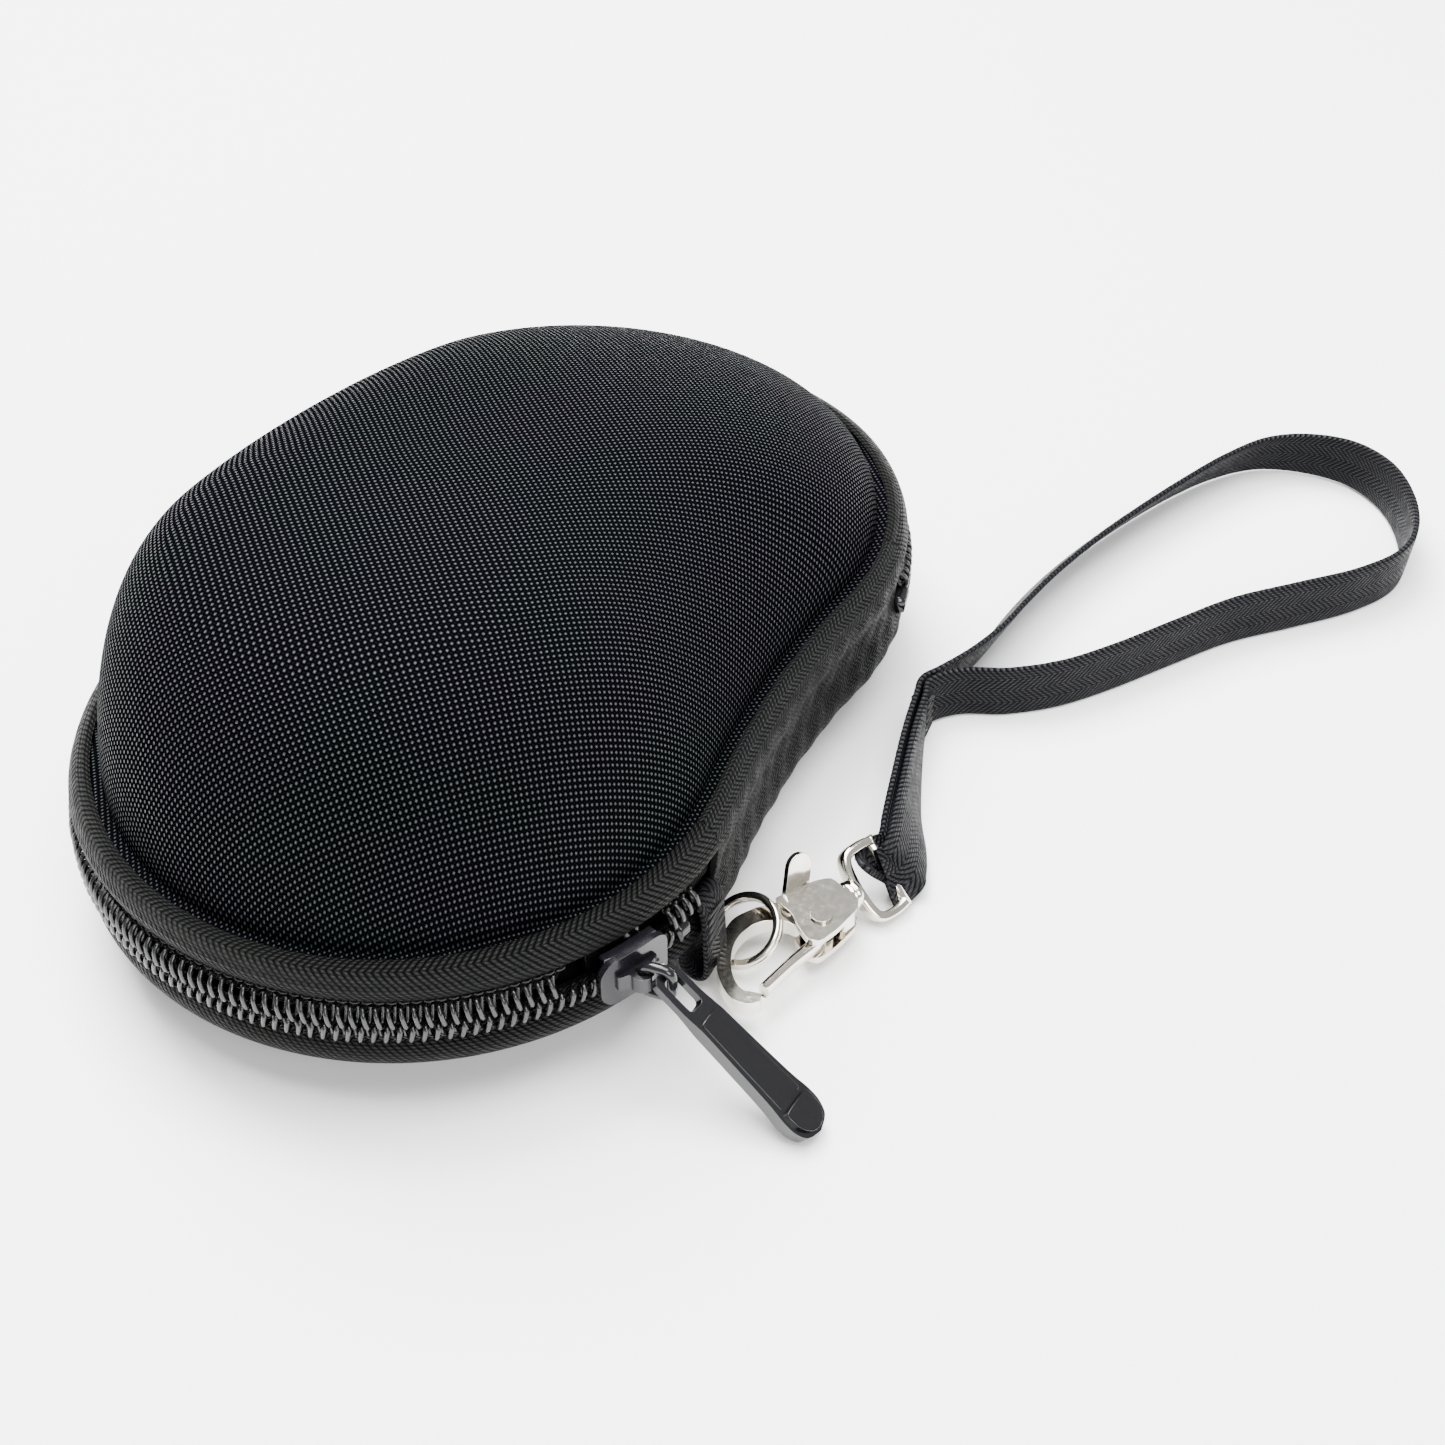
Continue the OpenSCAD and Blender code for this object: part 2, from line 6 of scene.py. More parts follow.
import bmesh
import bpy
import numpy as np
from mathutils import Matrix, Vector

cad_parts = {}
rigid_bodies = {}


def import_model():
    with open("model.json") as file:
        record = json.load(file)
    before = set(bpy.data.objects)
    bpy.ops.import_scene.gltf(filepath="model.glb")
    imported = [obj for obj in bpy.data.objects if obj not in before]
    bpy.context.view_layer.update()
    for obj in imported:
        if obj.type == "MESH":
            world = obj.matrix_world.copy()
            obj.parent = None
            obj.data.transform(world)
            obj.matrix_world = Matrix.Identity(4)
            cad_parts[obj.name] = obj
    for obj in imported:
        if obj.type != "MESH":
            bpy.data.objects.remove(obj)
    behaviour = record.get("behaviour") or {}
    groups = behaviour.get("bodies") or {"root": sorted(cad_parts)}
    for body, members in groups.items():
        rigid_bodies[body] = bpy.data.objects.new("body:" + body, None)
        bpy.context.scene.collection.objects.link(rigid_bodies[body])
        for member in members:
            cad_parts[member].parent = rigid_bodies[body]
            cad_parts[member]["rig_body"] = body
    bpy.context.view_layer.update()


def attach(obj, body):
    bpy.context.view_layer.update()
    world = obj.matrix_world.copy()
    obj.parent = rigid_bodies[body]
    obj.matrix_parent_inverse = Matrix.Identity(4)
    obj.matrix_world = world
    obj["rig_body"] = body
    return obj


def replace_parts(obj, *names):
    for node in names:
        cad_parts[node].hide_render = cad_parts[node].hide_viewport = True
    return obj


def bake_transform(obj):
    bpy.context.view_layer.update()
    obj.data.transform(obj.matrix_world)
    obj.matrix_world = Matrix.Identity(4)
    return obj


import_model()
MM = 0.001
rng = np.random.default_rng(7)

# ------------------------------------------------------------------ camera
cam_data = bpy.data.cameras.new("camera")
cam_data.lens = 59.8
cam_data.sensor_width = 36
cam_data.clip_start = 0.01
camera = bpy.data.objects.new("camera", cam_data)
camera.location = (0.1465, -0.2378, 0.2582)
camera.rotation_euler = (math.radians(47.5), 0, math.radians(25))
bpy.context.scene.collection.objects.link(camera)
bpy.context.scene.camera = camera


# ------------------------------------------------------------------ shape helpers
def circle_meet(a, ra, b, rb, side):
    """Where two circles cross, on the chosen side of the line between their centres."""
    d = np.linalg.norm(b - a)
    along = (ra * ra - rb * rb + d * d) / (2 * d)
    off = math.sqrt(ra * ra - along * along)
    u = (b - a) / d
    return a + along * u + side * off * np.array([-u[1], u[0]])


def bearing(v):
    return math.atan2(v[1], v[0])


NEAR_R, FAR_R, LEFT_R, WAIST_R, ZIP_Z = 47.0, 42.5, 198.0, 152.0, 18.0
NEAR_C = np.array([0.0, -28.0])
FAR_C = NEAR_C + [5.0, 59.0]
LEFT_C = circle_meet(NEAR_C, LEFT_R - NEAR_R, FAR_C, LEFT_R - FAR_R, -1)
WAIST_C = circle_meet(NEAR_C, WAIST_R + NEAR_R, FAR_C, WAIST_R + FAR_R, -1)
A_FAR0 = bearing(WAIST_C - FAR_C)
A_FAR1 = bearing(FAR_C - LEFT_C)
A_NEAR0 = bearing(NEAR_C - LEFT_C) + 2 * math.pi
A_NEAR1 = bearing(WAIST_C - NEAR_C) + 2 * math.pi
# centre, radius, first angle, last angle, side of the outline that the centre is on
ARCS = [
    (FAR_C, FAR_R, A_FAR0, A_FAR1, 1),
    (LEFT_C, LEFT_R, A_FAR1, A_NEAR0, 1),
    (NEAR_C, NEAR_R, A_NEAR0, A_NEAR1, 1),
    (WAIST_C, WAIST_R, A_NEAR1 - math.pi, A_FAR0 + math.pi, -1),
]
ARC_LEN = [r * abs(a1 - a0) for _, r, a0, a1, _ in ARCS]
ARC_START = np.concatenate([[0], np.cumsum(ARC_LEN)])
RIM_LEN = float(ARC_START[-1])


def rim(s, d):
    """Points (mm) at distance s along the outline, moved outward by d."""
    s = np.asarray(s, float) % RIM_LEN
    d = np.broadcast_to(np.asarray(d, float), s.shape)
    out = np.zeros(s.shape + (2,))
    for k, (c, r, a0, a1, side) in enumerate(ARCS):
        m = (s >= ARC_START[k]) & (s < ARC_START[k + 1] + 1e-9)
        a = a0 + (a1 - a0) * (s[m] - ARC_START[k]) / ARC_LEN[k]
        rad = r + side * d[m]
        out[m] = c + np.stack([rad * np.cos(a), rad * np.sin(a)], -1)
    return out


def near_s(angle):
    """Distance along the outline of a place on the front arc, by its angle from +X in degrees."""
    return ARC_START[2] + (math.radians(angle + 360) - A_NEAR0) / (A_NEAR1 - A_NEAR0) * ARC_LEN[2]


def catmull(points, n):
    """A smooth curve through points, with n steps for each of their gaps."""
    p = np.asarray(points, float)
    pad = np.concatenate([p[:1], p, p[-1:]])
    out = []
    for i in range(len(p) - 1):
        a, b, c, d = pad[i : i + 4]
        for t in np.arange(n) / n:
            square = t**2 * (2 * a - 5 * b + 4 * c - d)
            cube = t**3 * (3 * b - a - 3 * c + d)
            out.append(0.5 * (2 * b + t * (c - a) + square + cube))
    out.append(p[-1])
    return np.array(out)


def add_mesh(name, verts, faces, mat, body, uv=None, smooth=True, replaces=()):
    """A mesh piece from points in mm; uv is one (u, v) pair in mm for each vertex."""
    me = bpy.data.meshes.new(name)
    me.from_pydata((np.asarray(verts, float) * MM).tolist(), [],
                   [tuple(int(i) for i in f) for f in faces])
    me.update()
    if uv is not None:
        layer = me.uv_layers.new(name="cloth")
        loops = np.zeros(len(me.loops), int)
        me.loops.foreach_get("vertex_index", loops)
        layer.data.foreach_set("uv", np.asarray(uv, float)[loops].ravel())
    if smooth:
        me.polygons.foreach_set("use_smooth", [True] * len(me.polygons))
    obj = bpy.data.objects.new(name, me)
    bpy.context.scene.collection.objects.link(obj)
    me.materials.append(mat)
    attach(obj, body)
    if replaces:
        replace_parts(obj, *replaces)
    return obj


def grid_faces(rows, cols, wrap_rows=False, wrap_cols=False):
    faces = []
    for i in range(rows if wrap_rows else rows - 1):
        for j in range(cols if wrap_cols else cols - 1):
            i2, j2 = (i + 1) % rows, (j + 1) % cols
            faces.append((i * cols + j, i2 * cols + j, i2 * cols + j2, i * cols + j2))
    return faces


def rim_band(name, s0, s1, profile, mat, body, step=0.8, shape=None, replaces=()):
    """A strip carried along the outline: profile is points (offset, height above the zip plane) in mm."""
    prof = np.asarray(profile, float)
    loop = abs((s1 - s0) - RIM_LEN) < 1e-6
    n = max(2, int(round((s1 - s0) / step)))
    s = s0 + (s1 - s0) * np.arange(n if loop else n + 1) / n
    around = np.concatenate([[0], np.cumsum(np.linalg.norm(np.diff(prof, axis=0), axis=1))])
    S, A = np.meshgrid(s, around, indexing="ij")
    D = np.broadcast_to(prof[:, 0], S.shape).copy()
    Z = np.broadcast_to(prof[:, 1], S.shape).copy()
    if shape is not None:
        dd, dz = shape(S, A, D, Z)
        D += dd
        Z += dz
    xy = rim(S, D)
    verts = np.concatenate([xy, (Z + ZIP_Z)[..., None]], -1).reshape(-1, 3)
    faces = grid_faces(len(s), len(prof), wrap_rows=loop, wrap_cols=True)
    if not loop:
        faces.append(tuple(range(len(prof))))
        faces.append(tuple((len(s) - 1) * len(prof) + i for i in range(len(prof) - 1, -1, -1)))
    uv = np.stack([S, A], -1).reshape(-1, 2)
    return add_mesh(name, verts, faces, mat, body, uv=uv, replaces=replaces)


def resample(points, step):
    """Points of a profile spread evenly, after rounding its corners with a smooth curve."""
    p = catmull(points, 12)
    d = np.concatenate([[0], np.cumsum(np.linalg.norm(np.diff(p, axis=0), axis=1))])
    t = np.linspace(0, d[-1], max(3, int(d[-1] / step)))
    return np.stack([np.interp(t, d, p[:, k]) for k in range(p.shape[1])], -1)


# ------------------------------------------------------------------ materials
class Nodes:
    """A short way to write a material's maths."""

    def __init__(self, name):
        self.mat = bpy.data.materials.new(name)
        self.mat.use_nodes = True
        self.tree = self.mat.node_tree
        self.tree.nodes.clear()
        self.out = self.tree.nodes.new("ShaderNodeOutputMaterial")
        self.bsdf = self.tree.nodes.new("ShaderNodeBsdfPrincipled")
        self.tree.links.new(self.bsdf.outputs[0], self.out.inputs[0])

    def put(self, socket, value):
        if isinstance(value, bpy.types.NodeSocket):
            self.tree.links.new(value, socket)
        elif value is not None:
            socket.default_value = value

    def math(self, op, a, b=None):
        n = self.tree.nodes.new("ShaderNodeMath")
        n.operation = op
        for k, v in enumerate((a, b)):
            if v is not None:
                self.put(n.inputs[k], v)
        return n.outputs[0]

    def uv(self):
        n = self.tree.nodes.new("ShaderNodeUVMap")
        n.uv_map = "cloth"
        sep = self.tree.nodes.new("ShaderNodeSeparateXYZ")
        self.tree.links.new(n.outputs[0], sep.inputs[0])
        return sep.outputs[0], sep.outputs[1]

    def noise(self, scale, detail=3.0, rough=0.5):
        n = self.tree.nodes.new("ShaderNodeTexNoise")
        n.inputs["Scale"].default_value = scale
        n.inputs["Detail"].default_value = detail
        n.inputs["Roughness"].default_value = rough
        self.tree.links.new(self.tree.nodes.new("ShaderNodeTexCoord").outputs["Object"],
                            n.inputs["Vector"])
        return n.outputs[0]

    def ramp(self, value, low, high, a, b):
        n = self.tree.nodes.new("ShaderNodeMapRange")
        self.put(n.inputs["Value"], value)
        n.inputs["From Min"].default_value = low
        n.inputs["From Max"].default_value = high
        n.inputs["To Min"].default_value = a
        n.inputs["To Max"].default_value = b
        return n.outputs[0]

    def mix(self, factor, a, b):
        n = self.tree.nodes.new("ShaderNodeMix")
        n.data_type = "RGBA"
        self.put(n.inputs["Factor"], factor)
        self.put(n.inputs[6], a)
        self.put(n.inputs[7], b)
        return n.outputs[2]

    def bump(self, height, distance, strength=1.0):
        n = self.tree.nodes.new("ShaderNodeBump")
        n.inputs["Strength"].default_value = strength
        n.inputs["Distance"].default_value = distance
        self.tree.links.new(height, n.inputs["Height"])
        return n.outputs[0]

    def set(self, **values):
        for k, v in values.items():
            self.put(self.bsdf.inputs[k.replace("_", " ")], v)
        return self.mat


def float_height(m, x, y):
    """Height of one rounded yarn, for x across it and y along it, both from -0.5 to 0.5."""
    off_x = m.math("ABSOLUTE", m.math("MULTIPLY", x, 2.0))
    off_y = m.math("ABSOLUTE", m.math("MULTIPLY", y, 2.0))
    across = m.math("SUBTRACT", 1.0, m.math("POWER", off_x, 2.2))
    ends = m.math("SUBTRACT", 1.0, m.math("MULTIPLY", m.math("POWER", off_y, 2.0), 0.75))
    return m.math("MULTIPLY", across, ends)


def plain_weave(m, u, v, pu, pv):
    """Height of a plain weave, and 1 where the lengthwise yarn is on top."""
    x = m.math("DIVIDE", u, pu)
    y = m.math("DIVIDE", v, pv)
    ix, iy = m.math("FLOOR", x), m.math("FLOOR", y)
    over = m.math("FLOORED_MODULO", m.math("ADD", ix, iy), 2.0)
    fx = m.math("SUBTRACT", m.math("FRACT", x), 0.5)
    fy = m.math("SUBTRACT", m.math("FRACT", y), 0.5)
    warp = float_height(m, fx, fy)
    weft = float_height(m, fy, fx)
    height = m.math("ADD", m.math("MULTIPLY", warp, over),
                    m.math("MULTIPLY", weft, m.math("SUBTRACT", 1.0, over)))
    return height, over


def shell_cloth():
    m = Nodes("shell_cloth")
    u, v = m.uv()
    h, over = plain_weave(m, u, v, 0.62, 0.62)
    fine = m.noise(2600, 2)
    lift = m.math("MULTIPLY", h, m.ramp(over, 0, 1, 0.35, 1.0))
    tint = m.mix(m.ramp(m.noise(38, 2), 0.4, 0.62, 0, 1), (0.040, 0.038, 0.050, 1),
                 (0.034, 0.045, 0.045, 1))
    # painted shade: the hollows between yarns are coloured near-black, and the raised yarn tops take the
    # cloth's tint
    tone = m.mix(m.math("POWER", lift, 3.0), (0.0006, 0.0006, 0.0009, 1), tint)
    height = m.math("ADD", lift, m.math("MULTIPLY", fine, 0.15))
    normal = m.bump(height, 0.0003, 1.0)
    rough = m.ramp(m.noise(900, 2), 0.3, 0.7, 0.44, 0.62)
    spec = m.ramp(lift, 0.4, 1.0, 0.0, 0.16)
    return m.set(Base_Color=tone, Roughness=rough, Normal=normal, Specular_IOR_Level=spec)


def herringbone_cloth(name, rib, column, groove_shade_tone, tone_b, depth, rough=0.5, spec=0.25, slant=1.0):
    """Ribs that slant one way, then the other, in columns; u runs along the strip and v across it, in mm."""
    m = Nodes(name)
    u, v = m.uv()
    fold = m.math("ABSOLUTE", m.math("SUBTRACT", m.math("FRACT", m.math("DIVIDE", v, column)), 0.5))
    along = m.math("ADD", m.math("DIVIDE", u, rib), m.math("MULTIPLY", fold, slant * column / rib))
    off = m.math("ABSOLUTE", m.math("SUBTRACT", m.math("MULTIPLY", m.math("FRACT", along), 2.0), 1.0))
    ribs = m.math("SUBTRACT", 1.0, m.math("POWER", off, 2.0))
    yarn = m.math("ABSOLUTE", m.math("SINE", m.math("MULTIPLY", v, math.pi / 0.5)))
    h = m.math("MULTIPLY", ribs, m.math("ADD", 0.45, m.math("MULTIPLY", yarn, 0.55)))
    # painted shade: the grooves between ribs take the first, near-black colour and the rib tops take the
    # yarn's own colour
    tone = m.mix(m.math("POWER", h, 1.6), groove_shade_tone, tone_b)
    height = m.math("ADD", h, m.math("MULTIPLY", m.noise(2400, 2), 0.2))
    normal = m.bump(height, depth, 1.0)
    return m.set(Base_Color=tone, Roughness=m.ramp(m.noise(700, 2), 0.3, 0.7, rough - 0.08,
                                                   rough + 0.08), Normal=normal,
                 Specular_IOR_Level=m.ramp(h, 0.2, 1.0, 0.03, spec))


def knit_lining():
    m = Nodes("lining_cloth")
    u, v = m.uv()
    h, _ = plain_weave(m, u, v, 0.45, 0.3)
    tone = m.mix(m.noise(90, 3), (0.016, 0.016, 0.018, 1), (0.028, 0.028, 0.031, 1))
    return m.set(Base_Color=tone, Roughness=0.85, Normal=m.bump(h, 0.00007, 0.8), Specular_IOR_Level=0.2)


def metal(name, colour, rough, grain=0.00001, metallic=1.0, spec=0.5):
    m = Nodes(name)
    streak = m.noise(420, 4, 0.6)
    fine = m.noise(5200, 2)
    dark = tuple(c * 0.86 for c in colour[:3]) + (1,)
    tone = m.mix(m.ramp(streak, 0.35, 0.7, 0.0, 1.0), colour, dark)
    normal = m.bump(m.math("ADD", streak, m.math("MULTIPLY", fine, 0.3)), grain, 1.0)
    r = m.ramp(m.noise(1300, 4, 0.7), 0.3, 0.75, max(0.03, rough - 0.04), rough + 0.07)
    return m.set(Base_Color=tone, Metallic=metallic, Roughness=r, Normal=normal, Specular_IOR_Level=spec)


def nylon(name, colour, rough):
    m = Nodes(name)
    tone = m.mix(m.noise(500, 3), colour, tuple(c * 0.7 for c in colour[:3]) + (1,))
    normal = m.bump(m.noise(3000, 3), 0.00002, 1.0)
    return m.set(Base_Color=tone, Roughness=m.ramp(m.noise(800, 2), 0.3, 0.7, rough - 0.05,
                                                   rough + 0.08), Normal=normal,
                 Specular_IOR_Level=0.55)


SHELL = shell_cloth()
LINING = knit_lining()
# for each cloth, the first colour is painted shade for its rib grooves and the second is the yarn's own
# colour
TAPE = herringbone_cloth("zip_tape", 1.0, 9.0, (0.0006, 0.0006, 0.0006, 1), (0.0085, 0.0092, 0.0085, 1),
                         0.0003, 0.5, 0.12, slant=0.9)
BIND = herringbone_cloth("binding", 0.6, 1.8, (0.002, 0.002, 0.002, 1), (0.014, 0.014, 0.015, 1), 0.0001,
                         0.6, 0.2)
HINGE = herringbone_cloth("hinge_cloth", 0.9, 2.6, (0.0006, 0.0006, 0.0006, 1),
                          (0.011, 0.0115, 0.0115, 1), 0.0003, 0.55, 0.12)
WEB = herringbone_cloth("webbing", 0.95, 4.8, (0.0006, 0.0006, 0.0007, 1), (0.0105, 0.0105, 0.0135, 1),
                        0.00026, 0.5, 0.14)
COIL = nylon("zip_coil", (0.0035, 0.0038, 0.0038, 1), 0.26)
THREAD = nylon("thread", (0.012, 0.012, 0.0125, 1), 0.6)
BLACK = metal("black_metal", (0.006, 0.0055, 0.0075, 1), 0.16, metallic=0.0, spec=0.42)
ENAMEL = metal("black_enamel", (0.003, 0.003, 0.004, 1), 0.09, grain=0.000002, metallic=0.0, spec=0.6)
NICKEL = metal("nickel", (0.78, 0.735, 0.655, 1), 0.1)
STEEL = metal("spring_steel", (0.5, 0.5, 0.52, 1), 0.3)


# ------------------------------------------------------------------ shells
CROWN = np.array([-12.0, -13.0])


def dome_grid(d, base, h, n_around, rhos):
    """Points of the lid's dome above the zip plane."""
    s = RIM_LEN * np.arange(n_around) / n_around
    border = rim(s, d)
    rows = []
    for rho in rhos:
        p = CROWN + rho * (border - CROWN)
        tilt = 1 - 0.0045 * (p[:, 1] - CROWN[1])
        rise = max(0.0, 1 - rho**4.5) ** (1 / 1.65) * tilt
        # a soft flare where the wall leaves the rim on the hinge side, and a faint swell toward the far end
        side = np.clip((p[:, 0] - 18) / 34, 0, 1)
        sag = -0.045 * side * np.sin(np.pi * np.clip(rise / 0.8, 0, 1))
        swell = 0.018 * np.exp(-(((p[:, 1] - 24) / 18) ** 2)) * rise
        rows.append(np.column_stack([p, ZIP_Z + base + h * (rise + sag * rise + swell)]))
    return np.array(rows)


DOME_TOP = 41.0  # height of the dome above the zip plane, where the cloth lies flat


def cloth_uv(points):
    """Flat cloth coordinates for a draped dome, stretched by the drop so that yarns run down the walls."""
    rel = points[..., :2] - CROWN
    drop = np.clip(ZIP_Z + DOME_TOP - points[..., 2], 0, None)
    r = np.linalg.norm(rel, axis=-1) + 1e-6
    scale = 1 + 0.62 * drop / r
    return rel * scale[..., None]


# places from the rim (1) to the crown (0), closer together on the steep wall
RHOS = (1 - np.linspace(0, 1, 64) ** 2.6) ** 0.9


def make_dome(name, d, base, h, mat, body, flange, replaces):
    n = 420
    rows = dome_grid(d, base, h, n, RHOS[:-1])
    s = RIM_LEN * np.arange(n) / n
    skirt = [np.column_stack([rim(s, f[0]), np.full(n, ZIP_Z + f[1])]) for f in flange]
    grid = np.concatenate([np.array(skirt), rows])
    verts = grid.reshape(-1, 3)
    faces = grid_faces(len(grid), n, wrap_cols=True)
    top = np.array([CROWN[0], CROWN[1], ZIP_Z + base + h * (1 + 0.018 * math.exp(-((37 / 18) ** 2)))])
    verts = np.vstack([verts, top])
    last = (len(grid) - 1) * n
    faces += [(last + i, len(verts) - 1, last + (i + 1) % n) for i in range(n)]
    uv = cloth_uv(verts)
    return add_mesh(name, verts, faces, mat, body, uv=uv, replaces=replaces)


FLANGE = [(-6.2, 4.75), (-3.0, 4.72), (-0.9, 4.75), (-0.1, 4.95), (0.3, 5.5), (0.45, 6.2), (0.3, 7.0),
          (-0.1, 7.7), (-0.9, 8.3),
          (-2.2, 8.55), (-3.0, 8.62)]


make_dome("upper_shell", -3.4, 8.7, 32.3, SHELL, "lid", FLANGE, ["upper_shell"])
make_dome("upper_lining", -7.0, 8.7, 28.2, LINING, "lid",
                       [(-6.2, 4.8), (-6.6, 5.6), (-6.9, 7.6)], ["upper_lining"])


def make_bowl(name, outline, mat, body, replaces):
    n = 420
    prof = catmull(outline, 10)
    s = RIM_LEN * np.arange(n) / n
    rows = np.array([np.column_stack([rim(s, d), np.full(n, ZIP_Z + z)]) for d, z in prof])
    verts = rows.reshape(-1, 3)
    faces = [tuple(reversed(f)) for f in grid_faces(len(rows), n, wrap_cols=True)]
    mid = rows[-1].mean(0)
    verts = np.vstack([verts, mid])
    last = (len(rows) - 1) * n
    faces += [(last + (i + 1) % n, len(verts) - 1, last + i) for i in range(n)]
    flat = verts.copy()
    flat[:, 2] += DOME_TOP
    uv = cloth_uv(flat)
    return add_mesh(name, verts, faces, mat, body, uv=uv, replaces=replaces)


make_bowl("lower_shell", [(-6.2, -4.72), (-2.0, -4.72), (-0.9, -4.75), (0.1, -5.1), (0.45, -6.2),
                          (0.1, -7.5), (-0.9, -8.3), (-3.3, -8.6),
                          (-3.5, -9.6), (-4.2, -11), (-6, -14), (-9, -16.6), (-13, -17.8), (-17, -18),
                          (-24, -18)],
          SHELL, "lower_case", ["lower_shell"])
make_bowl("lower_lining", [(-6.2, -4.8), (-6.8, -5.6), (-7.0, -7.5), (-7.0, -8.6), (-7.6, -10.4),
                           (-9.1, -12.4), (-11.4, -13.6),
                           (-14.2, -14.0), (-19, -14.1), (-26, -14.1)],
          LINING, "lower_case", ["lower_lining"])

# binding over the inner edge of each shell
bind_half = [(-1.6, 4.05), (-5.4, 4.0), (-7.2, 4.1), (-7.75, 4.9), (-7.6, 5.9), (-7.1, 6.7), (-6.9, 6.4),
             (-7.2, 5.4), (-6.9, 4.75), (-5.4, 4.62), (-1.6, 4.6)]
for side, node, body in ((1, "upper_binding", "lid"), (-1, "lower_binding", "lower_case")):
    prof = [(a, side * b) for a, b in bind_half]
    if side < 0:
        prof = prof[::-1]
    rim_band(node, 0, RIM_LEN, prof, BIND, body, step=1.2, replaces=[node],
             shape=lambda S, A, D, Z: (0.06 * np.sin(S / 2.1) * np.sin(A * 1.3), 0))

# ------------------------------------------------------------------ zip tapes
S_HINGE_FAR = ARC_LEN[0] * 0.12
S_TAPE_END = near_s(-1.5)
S_NOTCH0, S_NOTCH1 = near_s(-36.5), near_s(-14.5)


def tape_profile():
    outer = resample([(0.0, 0.9), (0.02, 1.8), (0.06, 3.0), (0.5, 3.9), (1.15, 4.7), (1.55, 5.7),
                      (1.55, 6.7), (1.1, 7.9), (0.3, 8.9), (-0.4, 9.35), (-1.1, 9.6), (-1.8, 9.35)], 0.18)
    inner = resample([(-1.7, 8.9), (-0.6, 8.7), (0.3, 7.8), (0.85, 6.4), (0.62, 5.2), (-0.1, 3.8),
                      (-0.6, 2.9), (-0.7, 0.9)], 0.5)
    return outer, inner


TAPE_OUT, TAPE_IN = tape_profile()


def tape_wave(S, A, D, Z):
    """Woven edge ridges and a slightly uneven hand-sewn line along the strip."""
    edge = 0.09 * np.exp(-(((A - 8.2) / 0.5) ** 2))
    upper_groove = 0.1 * np.exp(-(((A - 6.9) / 0.28) ** 2))
    lower_groove = 0.07 * np.exp(-(((A - 3.3) / 0.3) ** 2))
    ridge = edge - upper_groove - lower_groove
    soft = 0.1 * np.sin(S / 9.0 + 0.7) * np.sin(np.clip(A / 9.0, 0, 1) * np.pi)
    return ridge + soft, 0.12 * np.sin(S / 13.0) * np.clip(A / 9.0, 0, 1) * (A < 10)


def tape_cut(S, A, D, Z):
    """The wave of the tape, with its lower lip folded up where the slider stands."""
    dd, dz = tape_wave(S, A, D, Z)
    gate = 1 / (1 + np.exp(-(S - S_NOTCH0) / 0.25)) / (1 + np.exp((S - S_NOTCH1) / 0.25))
    lift = np.clip(4.55 - Z, 0, None)
    out = np.clip(1.05 - D, 0, None) * (Z < 4.55)
    return dd + gate * out * 0.9, dz + gate * lift


rim_band("zip_tape_upper", S_HINGE_FAR, S_TAPE_END, np.vstack([TAPE_OUT, TAPE_IN]), TAPE, "lid",
         step=0.5, shape=tape_cut,
         replaces=["zip_tape_upper"])
rim_band("zip_tape_lower", S_HINGE_FAR, S_TAPE_END, (np.vstack([TAPE_OUT, TAPE_IN]) * [1, -1])[::-1],
         TAPE, "lower_case",
         step=0.7, replaces=["zip_tape_lower"])

# ------------------------------------------------------------------ zip coil
PITCH = 1.6


def tube(points, radius, sides=8, close=False):
    """Vertices and faces of a round tube along 3-D points (mm); radius may vary along it."""
    p = np.asarray(points, float)
    n = len(p)
    radius = np.broadcast_to(np.asarray(radius, float), (n,))
    if close:
        tan = np.roll(p, -1, 0) - np.roll(p, 1, 0)
    else:
        tan = np.gradient(p, axis=0)
    tan /= np.linalg.norm(tan, axis=1)[:, None] + 1e-12
    ref = np.array([0.0, 0.0, 1.0]) if abs(tan[0][2]) < 0.8 else np.array([1.0, 0.0, 0.0])
    side = np.cross(ref, tan[0])
    side /= np.linalg.norm(side)
    frames = []
    for k in range(n):
        side = side - tan[k] * np.dot(side, tan[k])
        side /= np.linalg.norm(side)
        frames.append((side, np.cross(tan[k], side)))
    a = 2 * np.pi * np.arange(sides) / sides
    ca, sa = np.cos(a)[:, None], np.sin(a)[:, None]
    verts = np.array([p[k] + radius[k] * (ca * frames[k][0] + sa * frames[k][1]) for k in range(n)])
    faces = grid_faces(n, sides, wrap_rows=close, wrap_cols=True)
    if not close:
        faces.append(tuple(range(sides))[::-1])
        faces.append(tuple((n - 1) * sides + i for i in range(sides)))
    return verts.reshape(-1, 3), faces


def joined(pieces):
    verts, faces, base = [], [], 0
    for v, f in pieces:
        verts.append(v)
        faces += [tuple(base + i for i in q) for q in f]
        base += len(v)
    return np.vstack(verts), faces


